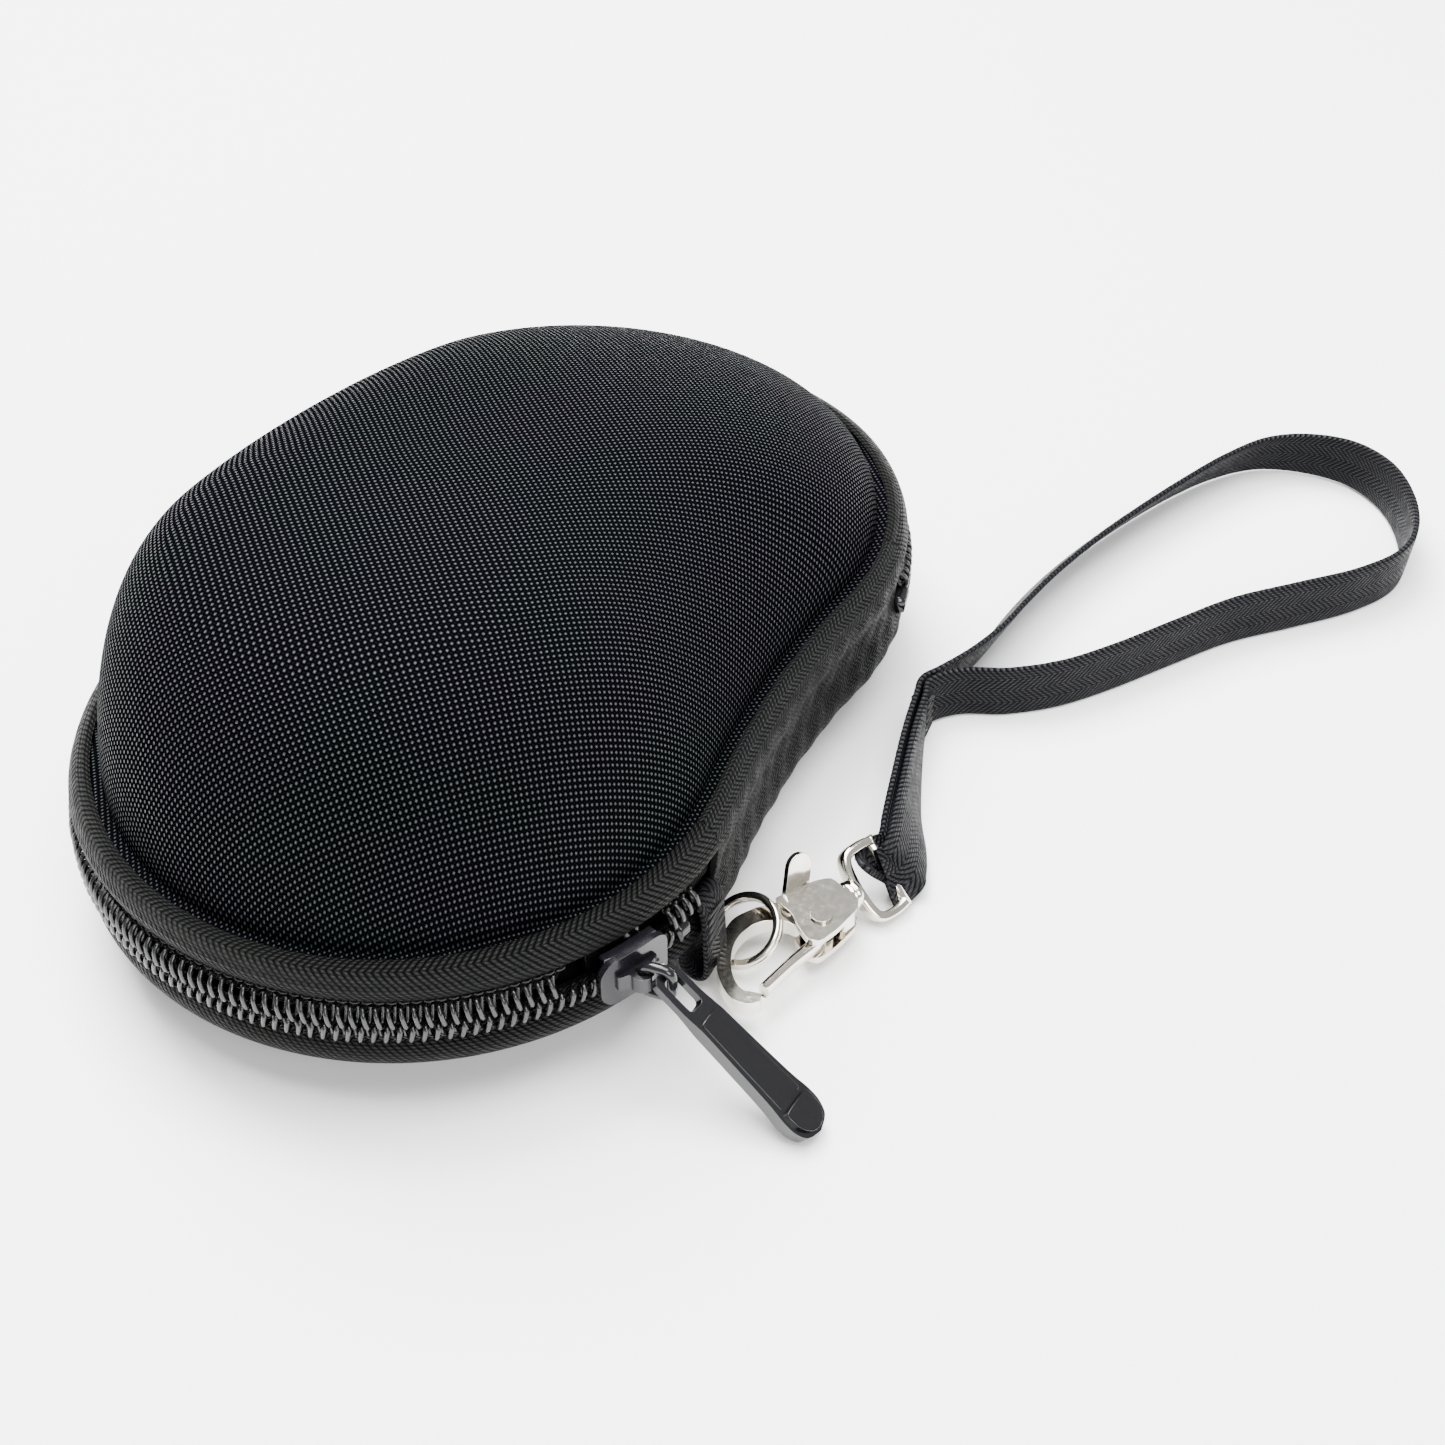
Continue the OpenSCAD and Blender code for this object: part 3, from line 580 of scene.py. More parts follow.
def coil(name, side, runs, body, nodes):
    """Loops of nylon wire: round heads outside, legs running back to the tape."""
    pieces = []
    phase = 0.0 if side > 0 else 0.5
    for s0, s1 in runs:
        first = math.ceil(s0 / PITCH - phase)
        last = math.floor(s1 / PITCH - phase)
        for k in range(first, last + 1):
            s = (k + phase) * PITCH
            wob = rng.normal(0, 0.02, 2)
            # one loop: out over the face, round the head near the zip plane and back beneath
            path = np.array([(-0.50, 0.45, 3.05), (-0.42, 1.25, 2.98), (-0.30, 1.95, 2.35),
                             (-0.12, 2.15, 1.45), (0.05, 2.12, 0.62),
                             (0.12, 1.80, 0.24), (0.2, 1.15, 0.3), (0.32, 0.62, 1.2), (0.42, 0.42, 2.2),
                             (0.50, 0.40, 3.05)])
            q = catmull(path, 3)
            xy = rim(s + q[:, 0] + wob[0], q[:, 1] + wob[1])
            z = ZIP_Z + side * q[:, 2]
            rad = np.interp(np.linspace(0, 1, len(q)), [0, 0.3, 0.5, 0.7, 1],
                            [0.34, 0.37, 0.42, 0.36, 0.3])
            v, f = tube(np.column_stack([xy, z]), rad, 7)
            if side < 0:
                f = [tuple(reversed(x)) for x in f]
            pieces.append((v, f))
    v, f = joined(pieces)
    return add_mesh(name, v, f, COIL, body, replaces=nodes)


S_COIL0 = S_HINGE_FAR + 0.4
coil("zip_coil_upper", 1, [(S_COIL0, S_NOTCH0 - 1), (near_s(-16.2), near_s(-7.4))], "lid",
     ["zip_coil_upper"])
coil("zip_coil_lower", -1, [(S_COIL0, near_s(-14.2))], "lower_case", ["zip_coil_lower"])
# the sewing line that holds each coil to its tape
for side, body, name in ((1, "lid", "coil_seam_upper"), (-1, "lower_case", "coil_seam_lower")):
    stitches = []
    end = S_NOTCH0 if side > 0 else near_s(-14)
    for s in np.arange(S_COIL0, end, PITCH):
        q = np.array([(0.0, 0.42, 3.42), (0.4, 0.62, 3.45), (0.8, 0.62, 3.45), (1.2, 0.42, 3.42)])
        stitches.append(tube(np.column_stack([rim(s + q[:, 0], q[:, 1]), ZIP_Z + side * q[:, 2]]), 0.13,
                             6))
    v, f = joined(stitches)
    add_mesh(name, v, f, THREAD, body)

# ------------------------------------------------------------------ cloth hinge
hinge_out = resample([(-1.8, -9.3), (-1.1, -9.6), (-0.4, -9.35), (0.5, -8.8), (1.2, -7.9), (1.6, -6.6),
                      (1.65, -5.2), (1.35, -3.6), (1.0, -1.8), (0.85, 0),
                      (1.0, 1.8), (1.35, 3.6), (1.65, 5.2), (1.6, 6.6), (1.2, 7.9), (0.5, 8.8),
                      (-0.4, 9.35), (-1.1, 9.6), (-1.8, 9.3)], 0.4)
hinge_in = resample([(-1.7, 8.9), (-0.6, 8.7), (0.3, 7.8), (0.8, 6.2), (0.5, 3), (0.2, 0), (0.5, -3),
                     (0.8, -6.2), (0.3, -7.8), (-0.6, -8.7), (-1.7, -8.9)], 0.9)


def pucker(S, A, D, Z):
    outer = (D > 0.6) | (np.abs(Z) > 8.8)
    mid = np.clip(1 - np.abs(Z) / 9.6, 0, 1) ** 0.5
    fine = 0.22 * np.sin(S / 0.95 + 1.3 * np.sin(S / 11)) * np.sin(Z * 0.75 + 0.6)
    ripple = fine + 0.14 * np.sin(S / 2.3 + Z * 0.4)
    ridge = 0.1 * np.exp(-(((np.abs(Z) - 9.2) / 0.35) ** 2))
    return np.where(outer, ripple * mid + ridge, 0), 0.15 * np.sin(S / 6.0) * mid


hinge = rim_band("hinge_strip", S_TAPE_END + 0.1, RIM_LEN + S_HINGE_FAR - 0.1,
                 np.vstack([hinge_out, hinge_in])[::-1], HINGE, "lower_case",
                 step=0.45, shape=pucker, replaces=["hinge_strip_lid", "hinge_strip_base"])
inside = rim_band("hinge_lining", near_s(2), RIM_LEN + S_HINGE_FAR - 1,
                  [(-1.2, -4), (-0.7, -3.6), (-0.4, -1.5), (-0.4, 1.5), (-0.7, 3.6), (-1.2, 4),
                  (-1.5, 3.9), (-1.0, 3.4), (-0.8, 1.5), (-0.8, -1.5), (-1.0, -3.4), (-1.5, -3.9)][::-1],
                  LINING, "lower_case",
                  step=1.0, replaces=["hinge_lining"])
for piece in (hinge, inside):
    del piece["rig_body"]
    piece.parent = None
    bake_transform(piece)


# ------------------------------------------------------------------ metal pieces
def frame_at(origin, x_axis, z_axis=(0, 0, 1)):
    """A local frame: where it stands (mm), its x direction and roughly its z direction."""
    x = np.asarray(x_axis, float) / np.linalg.norm(x_axis)
    z = np.asarray(z_axis, float) - x * np.dot(z_axis, x)
    z /= np.linalg.norm(z)
    return np.asarray(origin, float), np.stack([x, np.cross(z, x), z])


def placed(points, where):
    origin, axes = where
    return origin + np.asarray(points, float) @ axes


def bevelled(obj, width, segments):
    mod = obj.modifiers.new("edges", "BEVEL")
    mod.width = width * MM
    mod.segments = segments
    mod.limit_method = "ANGLE"
    mod.angle_limit = math.radians(30)
    mod.harden_normals = True


def plate(name, outline, z0, z1, where, mat, body, holes=(), bevel=0.25, bend=None, replaces=(),
          segments=3):
    """A plate cut to an outline with holes, from z0 to z1 in its own frame, with rounded edges."""
    bm = bmesh.new()
    edges = []
    for ring in (outline, *holes):
        vs = [bm.verts.new((x, y, z0)) for x, y in ring]
        edges += [bm.edges.new((vs[i], vs[(i + 1) % len(vs)])) for i in range(len(vs))]
    bmesh.ops.triangle_fill(bm, use_beauty=True, use_dissolve=False, edges=edges)
    grown = bmesh.ops.extrude_face_region(bm, geom=list(bm.faces))
    top = [v for v in grown["geom"] if isinstance(v, bmesh.types.BMVert)]
    bmesh.ops.translate(bm, verts=top, vec=(0, 0, z1 - z0))
    bmesh.ops.recalc_face_normals(bm, faces=bm.faces)
    pts = np.array([v.co[:] for v in bm.verts])
    if bend is not None:
        pts = bend(pts)
    pts = placed(pts, where) * MM
    for v, p in zip(bm.verts, pts):
        v.co = p
    bmesh.ops.recalc_face_normals(bm, faces=bm.faces)
    me = bpy.data.meshes.new(name)
    bm.to_mesh(me)
    bm.free()
    me.polygons.foreach_set("use_smooth", [True] * len(me.polygons))
    obj = bpy.data.objects.new(name, me)
    bpy.context.scene.collection.objects.link(obj)
    me.materials.append(mat)
    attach(obj, body)
    if replaces:
        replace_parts(obj, *replaces)
    if bevel:
        bevelled(obj, bevel, segments)
    return obj


def rounded(outline, r, n=5):
    """An outline with its corners rounded by about r."""
    p = np.asarray(outline, float)
    out = []
    m = len(p)
    for i in range(m):
        a, b, c = p[i - 1], p[i], p[(i + 1) % m]
        ra = min(r, 0.45 * np.linalg.norm(a - b))
        rc = min(r, 0.45 * np.linalg.norm(c - b))
        q0 = b + (a - b) / np.linalg.norm(a - b) * ra
        q1 = b + (c - b) / np.linalg.norm(c - b) * rc
        for t in np.linspace(0, 1, n):
            out.append((1 - t) ** 2 * q0 + 2 * t * (1 - t) * b + t * t * q1)
    return [tuple(x) for x in out]


def circle(cx, cy, r, n=24):
    a = 2 * np.pi * np.arange(n) / n
    return [(cx + r * math.cos(t), cy + r * math.sin(t)) for t in a]


def sweep(name, path, ups, half_w, half_t, mat, body, power=3.2, sides=16, replaces=(), uv=False):
    """A rounded bar along a path (mm). ups gives the width direction, half_w and half_t its half sizes."""
    p = np.asarray(path, float)
    n = len(p)
    tan = np.gradient(p, axis=0)
    tan /= np.linalg.norm(tan, axis=1)[:, None]
    up = np.broadcast_to(np.asarray(ups, float), p.shape)
    up = up - tan * np.sum(up * tan, 1)[:, None]
    up /= np.linalg.norm(up, axis=1)[:, None]
    side = np.cross(tan, up)
    hw = np.broadcast_to(np.asarray(half_w, float), (n,))
    ht = np.broadcast_to(np.asarray(half_t, float), (n,))
    a = 2 * np.pi * np.arange(sides) / sides
    ca, sa = np.cos(a), np.sin(a)
    x = np.sign(ca) * np.abs(ca) ** (2 / power)
    y = np.sign(sa) * np.abs(sa) ** (2 / power)
    wide = hw[:, None, None] * x[None, :, None] * up[:, None]
    thick = ht[:, None, None] * y[None, :, None] * side[:, None]
    verts = p[:, None] + wide + thick
    faces = grid_faces(n, sides, wrap_cols=True)
    faces.append(tuple(range(sides))[::-1])
    faces.append(tuple((n - 1) * sides + i for i in range(sides)))
    coords = None
    if uv:
        length = np.concatenate([[0], np.cumsum(np.linalg.norm(np.diff(p, axis=0), axis=1))])
        U = np.repeat(length[:, None], sides, 1)
        V = hw[:, None] * x[None, :] + 50
        coords = np.stack([U, V], -1).reshape(-1, 2)
    return add_mesh(name, verts.reshape(-1, 3), faces, mat, body, uv=coords, replaces=replaces)


SLIDER_AT = math.radians(-25)
slider_frame = frame_at([NEAR_C[0], NEAR_C[1], ZIP_Z], [math.cos(SLIDER_AT), math.sin(SLIDER_AT), 0])


def slider_plate(name, outline, d0, d1, bevel, replaces=(), mat=BLACK):
    """outline is in (along the zip, up); the plate lies from offset d0 to d1 and follows the zip's curve."""

    def bend(p):
        r = NEAR_R + p[:, 2]
        a = p[:, 0] / (NEAR_R + 2)
        return np.column_stack([r * np.cos(a), r * np.sin(a), p[:, 1]])

    return plate(name, outline, d0, d1, slider_frame, mat, "slider", bevel=bevel,
                 bend=bend, replaces=replaces)


def fine_outline(outline, step=0.6):
    out = []
    m = len(outline)
    for i in range(m):
        a, b = np.array(outline[i]), np.array(outline[(i + 1) % m])
        k = max(1, int(np.linalg.norm(b - a) / step))
        out += [tuple(a + (b - a) * j / k) for j in range(k)]
    return out


shield = rounded([(-5.5, -2.2), (-4.0, -4.1), (4.0, -4.1), (5.4, -3.0), (5.4, 3.0), (4.0, 4.1),
                  (-4.0, 4.1), (-5.5, 2.2)], 1.0)
slider_plate("slider_body", fine_outline(shield), 2.75, 3.8, 0.3, ["slider_body"])
slider_plate("slider_back", fine_outline(rounded([(-4.9, -3.6), (4.9, -4.0), (4.9, 4.0), (-4.9, 3.6)],
                                                 1.0)), -2.4, -1.15, 0.3)
for side in (-1, 1):
    rail = [(-4.3, side * 3.35), (4.3, side * 3.35), (4.3, side * 4.08), (-4.3, side * 4.08)]
    slider_plate(f"slider_rail_{'upper' if side > 0 else 'lower'}", fine_outline(rail), 1.5, 2.9, 0.16)
slider_plate("slider_post", fine_outline([(3.8, -0.5), (4.7, -0.5), (4.7, 0.5), (3.8, 0.5)]), -1.6, 3.0,
             0.1)

SLIDER_OUT = np.array([math.cos(SLIDER_AT), math.sin(SLIDER_AT), 0])
NEAR_AXIS = np.array([NEAR_C[0], NEAR_C[1], ZIP_Z])
CROWN_R, LINK_R = 50.8, 52.15  # how far out the crown's foot and the link's pin stand from the arc's centre
crown_where = frame_at(NEAR_AXIS + CROWN_R * SLIDER_OUT, SLIDER_OUT)
arch_out = catmull([(-0.1, -3.3), (0.5, -3.1), (0.9, -1.9), (1.7, -1.72), (2.6, -1.2), (3.1, 0),
                    (2.6, 1.2), (1.7, 1.72), (0.9, 1.9), (0.5, 3.1), (-0.1, 3.3)], 4)
plate("slider_crown", [tuple(q) for q in arch_out], -1.3, 1.3, crown_where, BLACK, "slider",
      bevel=0.35,
      holes=[circle(1.35, 0, 0.95)], replaces=["slider_crown"])

LINK_AT = NEAR_AXIS + LINK_R * SLIDER_OUT
LINK_DIR = math.radians(5)
LINK_L = 4.2
link_where = frame_at(LINK_AT, [math.cos(LINK_DIR), math.sin(LINK_DIR), 0])
loop_xz = rounded([(0, -2.5), (LINK_L, -2.5), (LINK_L, 2.5), (0, 2.5)], 1.5, 7)
link_path = np.array([(x, 0, z) for x, z in loop_xz])
v, f = tube(placed(link_path, link_where), 0.74, 14, close=True)
add_mesh("puller_link", v, f, BLACK, "link", replaces=["puller_link"])

TAB_AT = LINK_AT + LINK_L * np.array([math.cos(LINK_DIR), math.sin(LINK_DIR), 0])
TAB_DROP = math.radians(37.5)
PULL_DIR = math.radians(-5)
pull_axis = np.array([math.cos(PULL_DIR) * math.cos(TAB_DROP), math.sin(PULL_DIR) * math.cos(TAB_DROP),
                      -math.sin(TAB_DROP)])
pull_where = frame_at(TAB_AT, pull_axis, [0, 0, 1])
half_pull = catmull([(-2.3, 1.7), (-1.6, 2.3), (0.5, 2.4), (4, 2.45), (9, 2.6), (15, 2.85), (20, 3.1),
                     (23.2, 3.45), (25.4, 3.3), (27.2, 2.3), (28.0, 0)], 5)
pull_outline = [tuple(q) for q in half_pull] + [(x, -y) for x, y in half_pull[::-1][1:]]
window = rounded([(-1.15, -1.35), (4.4, -1.35), (4.4, 1.35), (-1.15, 1.35)], 0.7, 4)


def pull_bend(p):
    """The plate thickens past its frame toward its end."""
    q = p.copy()
    t = np.clip((q[:, 0] - 3) / 4, 0, 1)
    q[:, 2] *= 0.6 + 0.5 * t
    return q


plate("puller_tab", pull_outline, -1.0, 1.0, pull_where, ENAMEL, "puller",
      holes=[window], bevel=0.45, bend=pull_bend, segments=4,
      replaces=["puller_tab"])
inset = rounded([(6.2, -1.9), (22.0, -2.4), (22.0, 2.4), (6.2, 1.9)], 0.5, 4)
plate("puller_face", inset, 1.02, 1.24, pull_where, ENAMEL, "puller", bevel=0.2)
tip = rounded([(22.6, -2.7), (25.4, -2.6), (27.0, -1.5), (27.4, 0), (27.0, 1.5), (25.4, 2.6),
               (22.6, 2.7)], 0.8, 4)
plate("puller_tip", tip, 0.9, 1.75, pull_where, ENAMEL, "puller", bevel=0.7)
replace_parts(sweep("slider_lock_spring", placed([(3.9, 2.9, -1.35), (4.1, 3.5, -1.3), (4.15, 4.4, -1.3)],
                                               slider_frame) + 46.95 * slider_frame[1][0], [0, 0, 1],
                  0.22, 0.14, STEEL, "slider"), "slider_lock_spring")
for name, s0, s1, body in (("zip_end_stops", near_s(-13.8), near_s(-11.6), "lower_case"),
                           ("zip_end_stop_far", ARC_LEN[0] * 0.108, ARC_LEN[0] * 0.136, "lower_case")):
    rim_band(name, s0, s1, [(0.3, -3.2), (1.6, -3.3), (2.5, -2.9), (2.65, -1.7), (2.4, -0.6),
                            (1.4, -0.2), (0.3, -0.25)], BLACK, body, step=0.3,
             replaces=["zip_end_stops"] if name == "zip_end_stops" else [])

# ------------------------------------------------------------------ webbing tab and split ring
RING_C = np.array([51.1, -25.6, 4.75])
RING_FACE, RING_TILT = math.radians(60), math.radians(32)
ring_x = np.array([math.cos(RING_TILT) * math.cos(RING_FACE), math.cos(RING_TILT) * math.sin(RING_FACE),
                   math.sin(RING_TILT)])
ring_n = np.array([-math.sin(RING_TILT) * math.cos(RING_FACE),
                   -math.sin(RING_TILT) * math.sin(RING_FACE), math.cos(RING_TILT)])
ring_where = frame_at(RING_C, ring_x, ring_n)


def split_ring():
    """Two flattened turns of wire lying on each other, with one blunt end showing."""
    turns = np.linspace(0.0, 2.0, 150)
    a = 2 * np.pi * turns + math.radians(105)
    lift = np.interp(turns, [0, 0.12, 0.88, 1.12, 1.88, 2.0], [-0.45, -0.45, -0.45, 0.45, 0.45, 0.45])
    radius = 5.2
    path = placed(np.column_stack([radius * np.cos(a), radius * np.sin(a), lift]), ring_where)
    sweep("strap_ring", path, ring_n, 0.46, 0.6, NICKEL, "ring", power=2.6, sides=14,
          replaces=["strap_ring"])


split_ring()


def webbing_tab():
    """A folded strip: down the outer face, round the ring and back up behind."""
    line = catmull([(46.9, 0.0, 16.5), (47.6, 0.1, 18.0), (48.6, 0.2, 18.1), (49.3, 0.3, 16.4),
                    (49.5, 0.4, 12.5), (49.6, 0.6, 8.5), (49.5, 1.0, 5.2),
                    (48.9, 1.4, 3.0), (47.5, 1.6, 2.0), (46.1, 1.5, 3.0), (45.6, 1.1, 5.0),
                    (45.9, 0.6, 8.5), (46.5, 0.3, 11.5)], 8)
    path = np.column_stack([line[:, 0], -33.2 + line[:, 1], line[:, 2]])
    sweep("ring_tab", path, [0, 1, 0], 3.1, 0.55, WEB, "lower_case", power=5, sides=20,
          replaces=["ring_tab"], uv=True)


webbing_tab()
zigzag = [(50.12, -35.6 + 5.0 * (k % 2), 16.4 - 0.75 * k) for k in range(9)]
v, f = tube(catmull(zigzag, 4), 0.16, 6)
add_mesh("tab_stitches", v, f, THREAD, "lower_case")

# ------------------------------------------------------------------ clasp
CLASP_HEAD = math.radians(66)
clasp_where = frame_at([60.7, -20.4, 4.8], [math.cos(CLASP_HEAD), math.sin(CLASP_HEAD), 0])
UP = np.array([0.0, 0.0, 1.0])
body_outline = rounded([(-2.9, 3.2), (-4.0, 0.6), (-4.6, -2.0), (-3.6, -3.5), (0, -3.3), (4.6, -2.4),
                        (6.2, -1.2), (6.2, 4.6), (4.4, 5.6), (1.5, 6.3),
                        (-2.9, 7.0)], 0.7, 4)
for side in (-1, 1):
    low, high = sorted((side * 1.3, side * 2.35))
    plate(f"clasp_cheek_{'upper' if side > 0 else 'lower'}", body_outline, low, high, clasp_where,
          NICKEL, "clasp", bevel=0.4,
          holes=[circle(0, 0, 1.0)], replaces=["clasp_body"] if side > 0 else [])
plate("clasp_block", rounded([(2.2, -2.5), (4.6, -2.2), (6.0, -1.1), (6.0, 4.5), (5.5, 4.8), (5.4, 3.9),
                              (2.2, 3.9)], 0.3, 3), -1.4, 1.4, clasp_where, NICKEL,
      "clasp", bevel=0.1)
hook = [(-2.9, 6.9), (-4.2, 7.6), (-5.8, 8.2), (-9.0, 8.6), (-11.8, 7.6), (-14.6, 5.7), (-17.0, 3.2),
        (-18.6, 0.3), (-19.2, -2.4), (-18.5, -4.5), (-16.8, -5.4), (-15.7, -4.7),
        (-16.2, -3.5), (-17.0, -2.3), (-16.7, -0.4), (-15.4, 1.9), (-13.2, 4.2), (-10.6, 5.6),
        (-7.6, 5.8), (-5.2, 4.7), (-3.9, 3.2), (-3.3, 1.6), (-2.9, 1.6)]
plate("clasp_hook", [tuple(q) for q in catmull(hook + hook[:1], 5)[:-1]], -1.25, 1.25, clasp_where,
      NICKEL, "clasp", bevel=0.7, segments=5)
u = placed(np.array([(6.0, 1.8, 0), (6.5, 1.8, 0), (7.3, 1.8, 0)]), clasp_where)
sweep("clasp_collar", u, UP, np.array([2.3, 2.4, 2.25]), np.array([2.3, 2.4, 2.25]), NICKEL, "clasp",
      power=2.0, sides=32)

gate = catmull([(-1.2, -0.6, 0), (-2.6, -1.9, 0), (-8, -2.5, 0), (-14.4, -3.6, 0)], 8)
gate_half = np.interp(np.linspace(0, 1, len(gate)), [0, 0.2, 1], [1.5, 0.95, 0.75])
sweep("clasp_lever", placed(gate, clasp_where), UP, 1.15, gate_half, NICKEL, "lever", power=3.2,
      sides=20, replaces=["clasp_lever"])
plate("lever_hub", circle(0, 0, 1.95, 32), -1.15, 1.15, clasp_where, NICKEL, "lever",
      bevel=0.12)
arm = catmull([(-0.8, 1.2, 0), (-0.6, 3.4, 0), (-0.2, 5.6, 0.2)], 8)
sweep("lever_arm", placed(arm, clasp_where), UP, 1.15, 1.1, NICKEL, "lever", power=2.8,
      sides=20)
pad_up = np.array([2.6, 1.9, 5.4]) / np.linalg.norm([2.6, 1.9, 5.4])
pad_side = np.array([1.0, 0, 0]) - pad_up * pad_up[0]
pad_side /= np.linalg.norm(pad_side)
pad_at = np.array([0.0, 5.9, 0.0])
pad_axes = np.array([pad_side, pad_up, np.cross(pad_side, pad_up)]) @ clasp_where[1]
pad_turn = np.linspace(0.15, math.pi - 0.15, 14)
pad_end = [(2.15 * math.cos(t), 5.6 + 2.2 * math.sin(t)) for t in pad_turn]
pad_shape = [(-2.1, -0.9), (2.1, -0.9), (2.15, 5.2)] + pad_end + [(-2.15, 5.2)]
plate("lever_pad", pad_shape, -0.45, 0.45, (placed([pad_at], clasp_where)[0], pad_axes), NICKEL, "lever",
      bevel=0.3)
for side in (-1, 1):
    low, high = sorted((side * 2.38, side * 2.82))
    plate(f"rivet_head_{'upper' if side > 0 else 'lower'}", circle(0, 0, 1.62, 32), low, high,
          clasp_where, NICKEL, "clasp", bevel=0.2,
          replaces=["clasp_rivet"] if side > 0 else [])
v, f = tube(placed([(0, 0, -2.6), (0, 0, 0), (0, 0, 2.6)], clasp_where), 0.98, 24)
add_mesh("rivet_pin", v, f, NICKEL, "clasp")
coil_turns = np.linspace(0, 2.4, 60)
v, f = tube(placed(np.column_stack([1.45 * np.cos(2 * np.pi * coil_turns),
                                    1.45 * np.sin(2 * np.pi * coil_turns), 1.25 + 0.12 * coil_turns]),
                                    clasp_where), 0.13, 8)
add_mesh("clasp_spring", v, f, STEEL, "clasp", replaces=["clasp_spring"])

# swivel eye: a stem in the collar, and a bent fork with a bar across it
ROLL = math.radians(39)
cx, cy = clasp_where[1][0], clasp_where[1][1]
eye_y = math.cos(ROLL) * cy + math.sin(ROLL) * UP
eye_where = frame_at(placed([[0, 1.8, 0]], clasp_where)[0], cx, np.cross(cx, eye_y))
arc = catmull([(14.6, -5.1, 0), (12.4, -5.4, 0), (9.9, -5.1, 0), (8.9, -3.4, 0), (8.6, 0, 0),
               (8.9, 3.4, 0), (9.9, 5.1, 0), (12.4, 5.4, 0), (14.6, 5.1, 0)], 7)
sweep("swivel_eye", placed(arc, eye_where), eye_where[1][2], 1.3, 0.8, NICKEL, "eye",
      power=3.4, sides=18, replaces=["swivel_eye"])
v, f = tube(placed([(14.6, -5.9, 0), (14.6, -5.7, 0), (14.6, 5.7, 0), (14.6, 5.9, 0)], eye_where),
            [0.8, 1.0, 1.0, 0.8], 24)
add_mesh("eye_bar", v, f, NICKEL, "eye")
v, f = tube(placed([(2.7, 0, 0), (7.3, 0, 0), (8.6, 0, 0)], eye_where), [1.2, 1.2, 1.25], 24)
add_mesh("eye_stem", v, f, NICKEL, "eye")
v, f = tube(placed([(7.42, 0, 0), (7.55, 0, 0), (8.25, 0, 0), (8.4, 0, 0)], eye_where),
            [1.9, 2.15, 2.15, 1.9], 32)
add_mesh("eye_collar", v, f, NICKEL, "eye")

# ------------------------------------------------------------------ wrist strap
# x, y, z and the webbing's lean from upright in degrees, along the doubled stem and round the loop
STEM = np.array([
    [66.2, -3.6, 5.7, -38], [64.7, 1.5, 5.7, -32], [62, 9, 5.4, -18], [59, 19, 5.2, -8],
    [57, 27, 5.1, 0], [56.5, 31, 5.1, 0],
])
LOOP = np.array([
    [57, 34.6, 5.1, 8], [59, 41, 5, 18], [60.8, 49, 4.8, 25], [61.8, 58, 4.6, 30],
    [63.6, 68, 4.5, 33], [66.6, 79, 4.4, 35], [70.6, 90, 4.4, 35], [75.4, 101, 4.5, 33],
    [80.6, 110.5, 4.7, 28], [86.5, 117.4, 4.9, 20], [94, 120.6, 5.1, 10], [102, 120.8, 5.2, 2],
    [109, 117, 5.2, -4], [114, 110, 5.1, -6], [116.6, 102, 5, -6], [116, 94.5, 4.9, -4],
    [111, 86.6, 4.9, -2], [103, 78.6, 4.9, 0], [94.6, 70.4, 4.9, 0], [87.4, 60.6, 4.9, 0],
    [81, 51.6, 4.9, 0], [74.6, 44, 4.9, 0], [67.6, 38.6, 4.9, 0], [61, 35.4, 5, 0],
])
EYE_BAR = 14.6  # how far the eye's bar stands from the rivet
BAR_C = placed([[EYE_BAR, 0, 0]], eye_where)[0]


def beside(line, gap):
    v = np.gradient(line[:, :2], axis=0)
    n = np.stack([-v[:, 1], v[:, 0]], -1) / np.linalg.norm(v, axis=1)[:, None]
    out = line.copy()
    out[:, :2] += gap * n
    return out


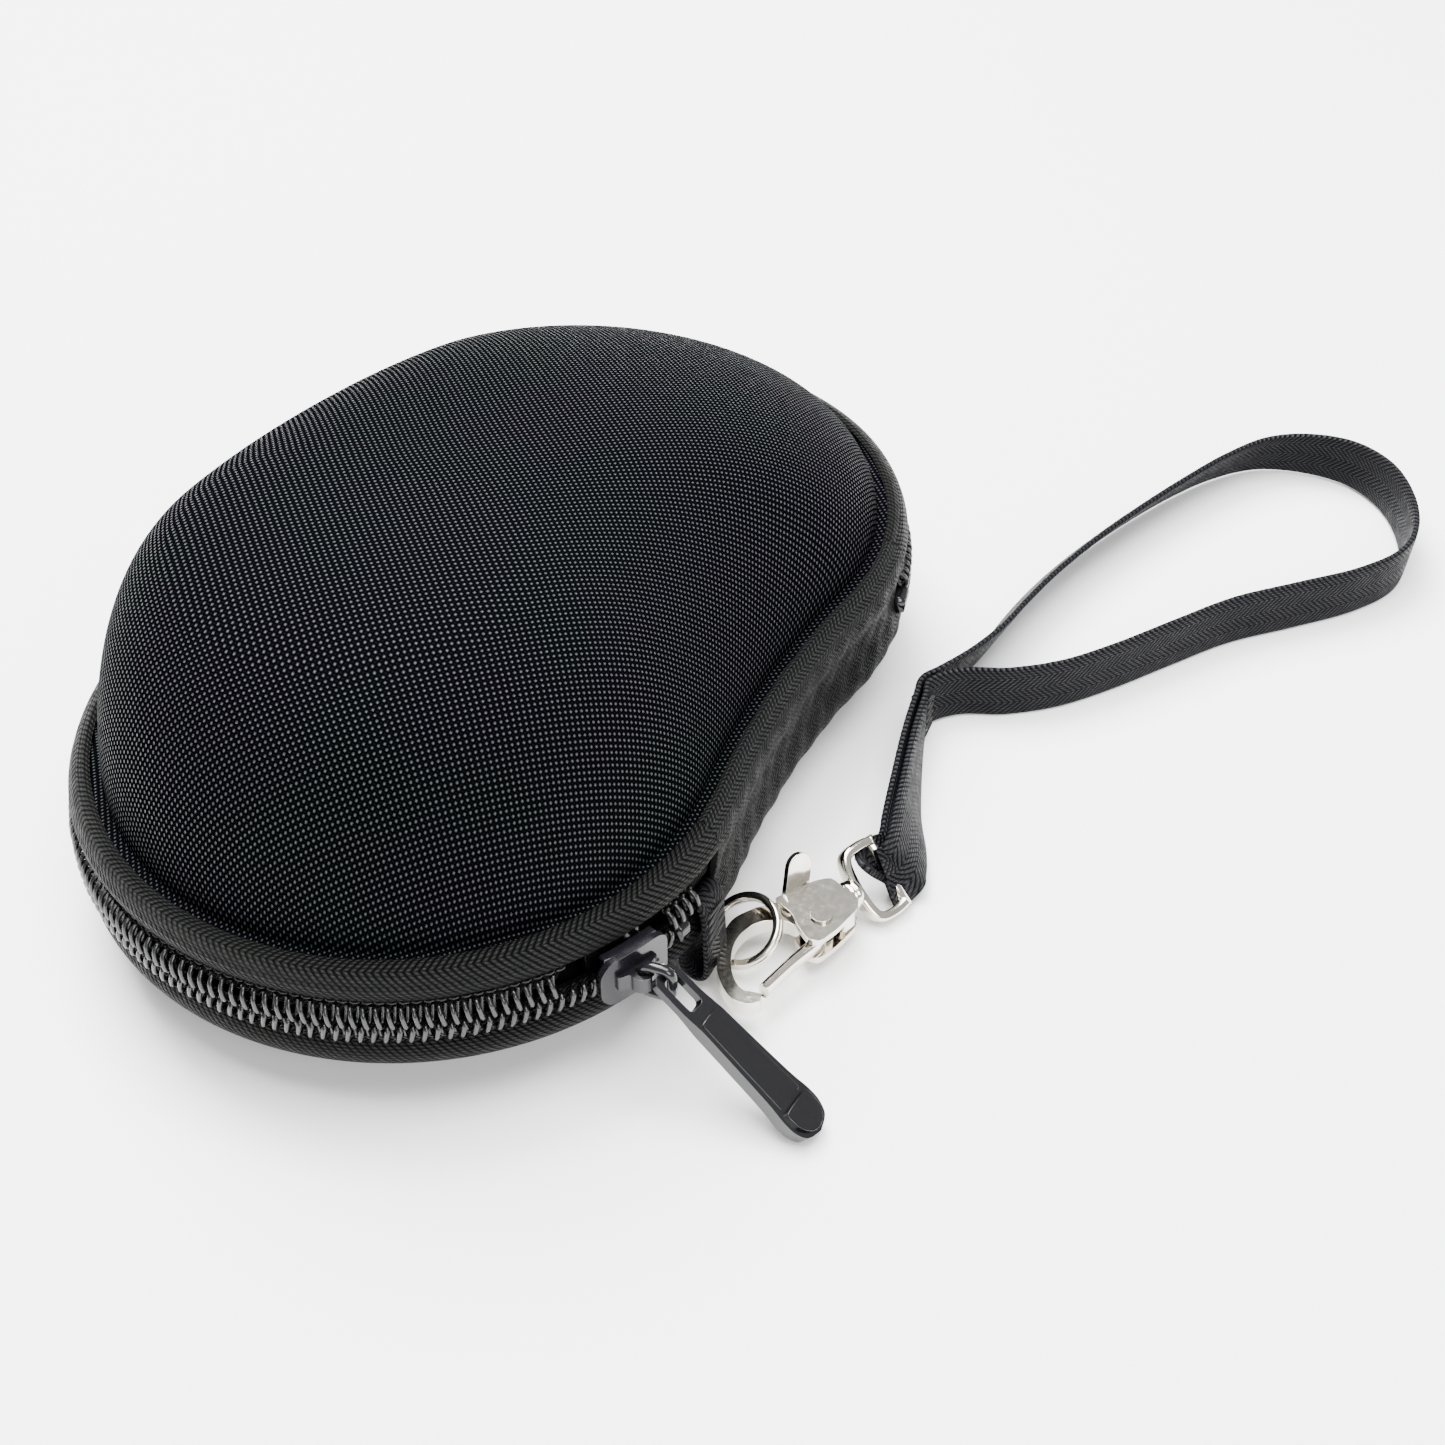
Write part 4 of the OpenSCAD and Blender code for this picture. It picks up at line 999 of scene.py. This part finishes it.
def strap():
    d0 = STEM[1, :2] - STEM[0, :2]
    d0 = d0 / np.linalg.norm(d0)
    n0 = np.array([-d0[1], d0[0]])
    lean = STEM[0, 3]
    back = [BAR_C[0] - 1.65 * d0[0], BAR_C[1] - 1.65 * d0[1], BAR_C[2], lean - 2]
    side_a = [BAR_C[0] + 1.62 * n0[0], BAR_C[1] + 1.62 * n0[1], BAR_C[2], lean]
    side_b = [BAR_C[0] - 1.62 * n0[0], BAR_C[1] - 1.62 * n0[1], BAR_C[2], lean]
    route = np.vstack([[back], [side_a], beside(STEM, 0.72), LOOP, beside(STEM, -0.72)[::-1], [side_b],
                       [back]])
    line = catmull(route, 9)
    p = line[:, :3]
    tan = np.gradient(p, axis=0)
    tan /= np.linalg.norm(tan, axis=1)[:, None]
    flat = tan[:, :2] / np.linalg.norm(tan[:, :2], axis=1)[:, None]
    lean = np.radians(line[:, 3])
    # the lean is kept with the route's side, so it changes sign on the way back
    n = np.stack([-flat[:, 1], flat[:, 0]], -1)
    up = np.column_stack([-np.sin(lean)[:, None] * n, np.cos(lean)])
    back_from = 9 * (1 + len(STEM) + len(LOOP))
    up[back_from + 1 :, :2] *= -1.0
    obj = sweep("wrist_strap", p, up, 4.7, 0.56, WEB, "strap", power=6, sides=28,
                replaces=["wrist_strap"], uv=True)
    length = float(np.sum(np.linalg.norm(np.diff(p, axis=0), axis=1)))
    return obj, p, length


strap_obj, strap_path, strap_len = strap()
tack = []
for side in (-1, 1):
    zigzag = [(57.04 + side * 1.32, 26.6 + 2.6 * (k % 2), 1.6 + 0.72 * k) for k in range(11)]
    tack.append(tube(catmull(zigzag, 3), 0.17, 6))
v, f = joined(tack)
stitch_obj = add_mesh("strap_stitches", v, f, THREAD, "strap", replaces=["strap_stitches"])

# ------------------------------------------------------------------ floor and light
floor_mat = Nodes("floor")
floor_mat.set(Base_Color=(0.93, 0.93, 0.93, 1), Roughness=0.7, Specular_IOR_Level=0.1)
bm = bmesh.new()
bmesh.ops.create_grid(bm, x_segments=2, y_segments=2, size=3.0)
me = bpy.data.meshes.new("floor")
bm.to_mesh(me)
bm.free()
floor = bpy.data.objects.new("floor", me)
bpy.context.scene.collection.objects.link(floor)
me.materials.append(floor_mat.mat)
world = bpy.data.worlds.new("studio")
bpy.context.scene.world = world
world.use_nodes = True
world.node_tree.nodes["Background"].inputs[0].default_value = (1, 1, 1, 1)
world.node_tree.nodes["Background"].inputs[1].default_value = 0.7


def softbox(name, at, look, size, power):
    data = bpy.data.lights.new(name, "AREA")
    data.shape = "RECTANGLE"
    data.size, data.size_y = size
    data.energy = power
    o = bpy.data.objects.new(name, data)
    o.location = at
    o.rotation_euler = (Vector(look) - Vector(at)).to_track_quat("-Z", "Y").to_euler()
    bpy.context.scene.collection.objects.link(o)


softbox("key", (-0.35, 0.25, 0.75), (0, 0, 0.02), (0.5, 0.5), 30)
softbox("top", (0.1, 0.0, 0.9), (0, 0, 0), (0.7, 0.7), 26)
softbox("fill", (0.6, -0.5, 0.5), (0.03, 0, 0.02), (0.4, 0.4), 7)
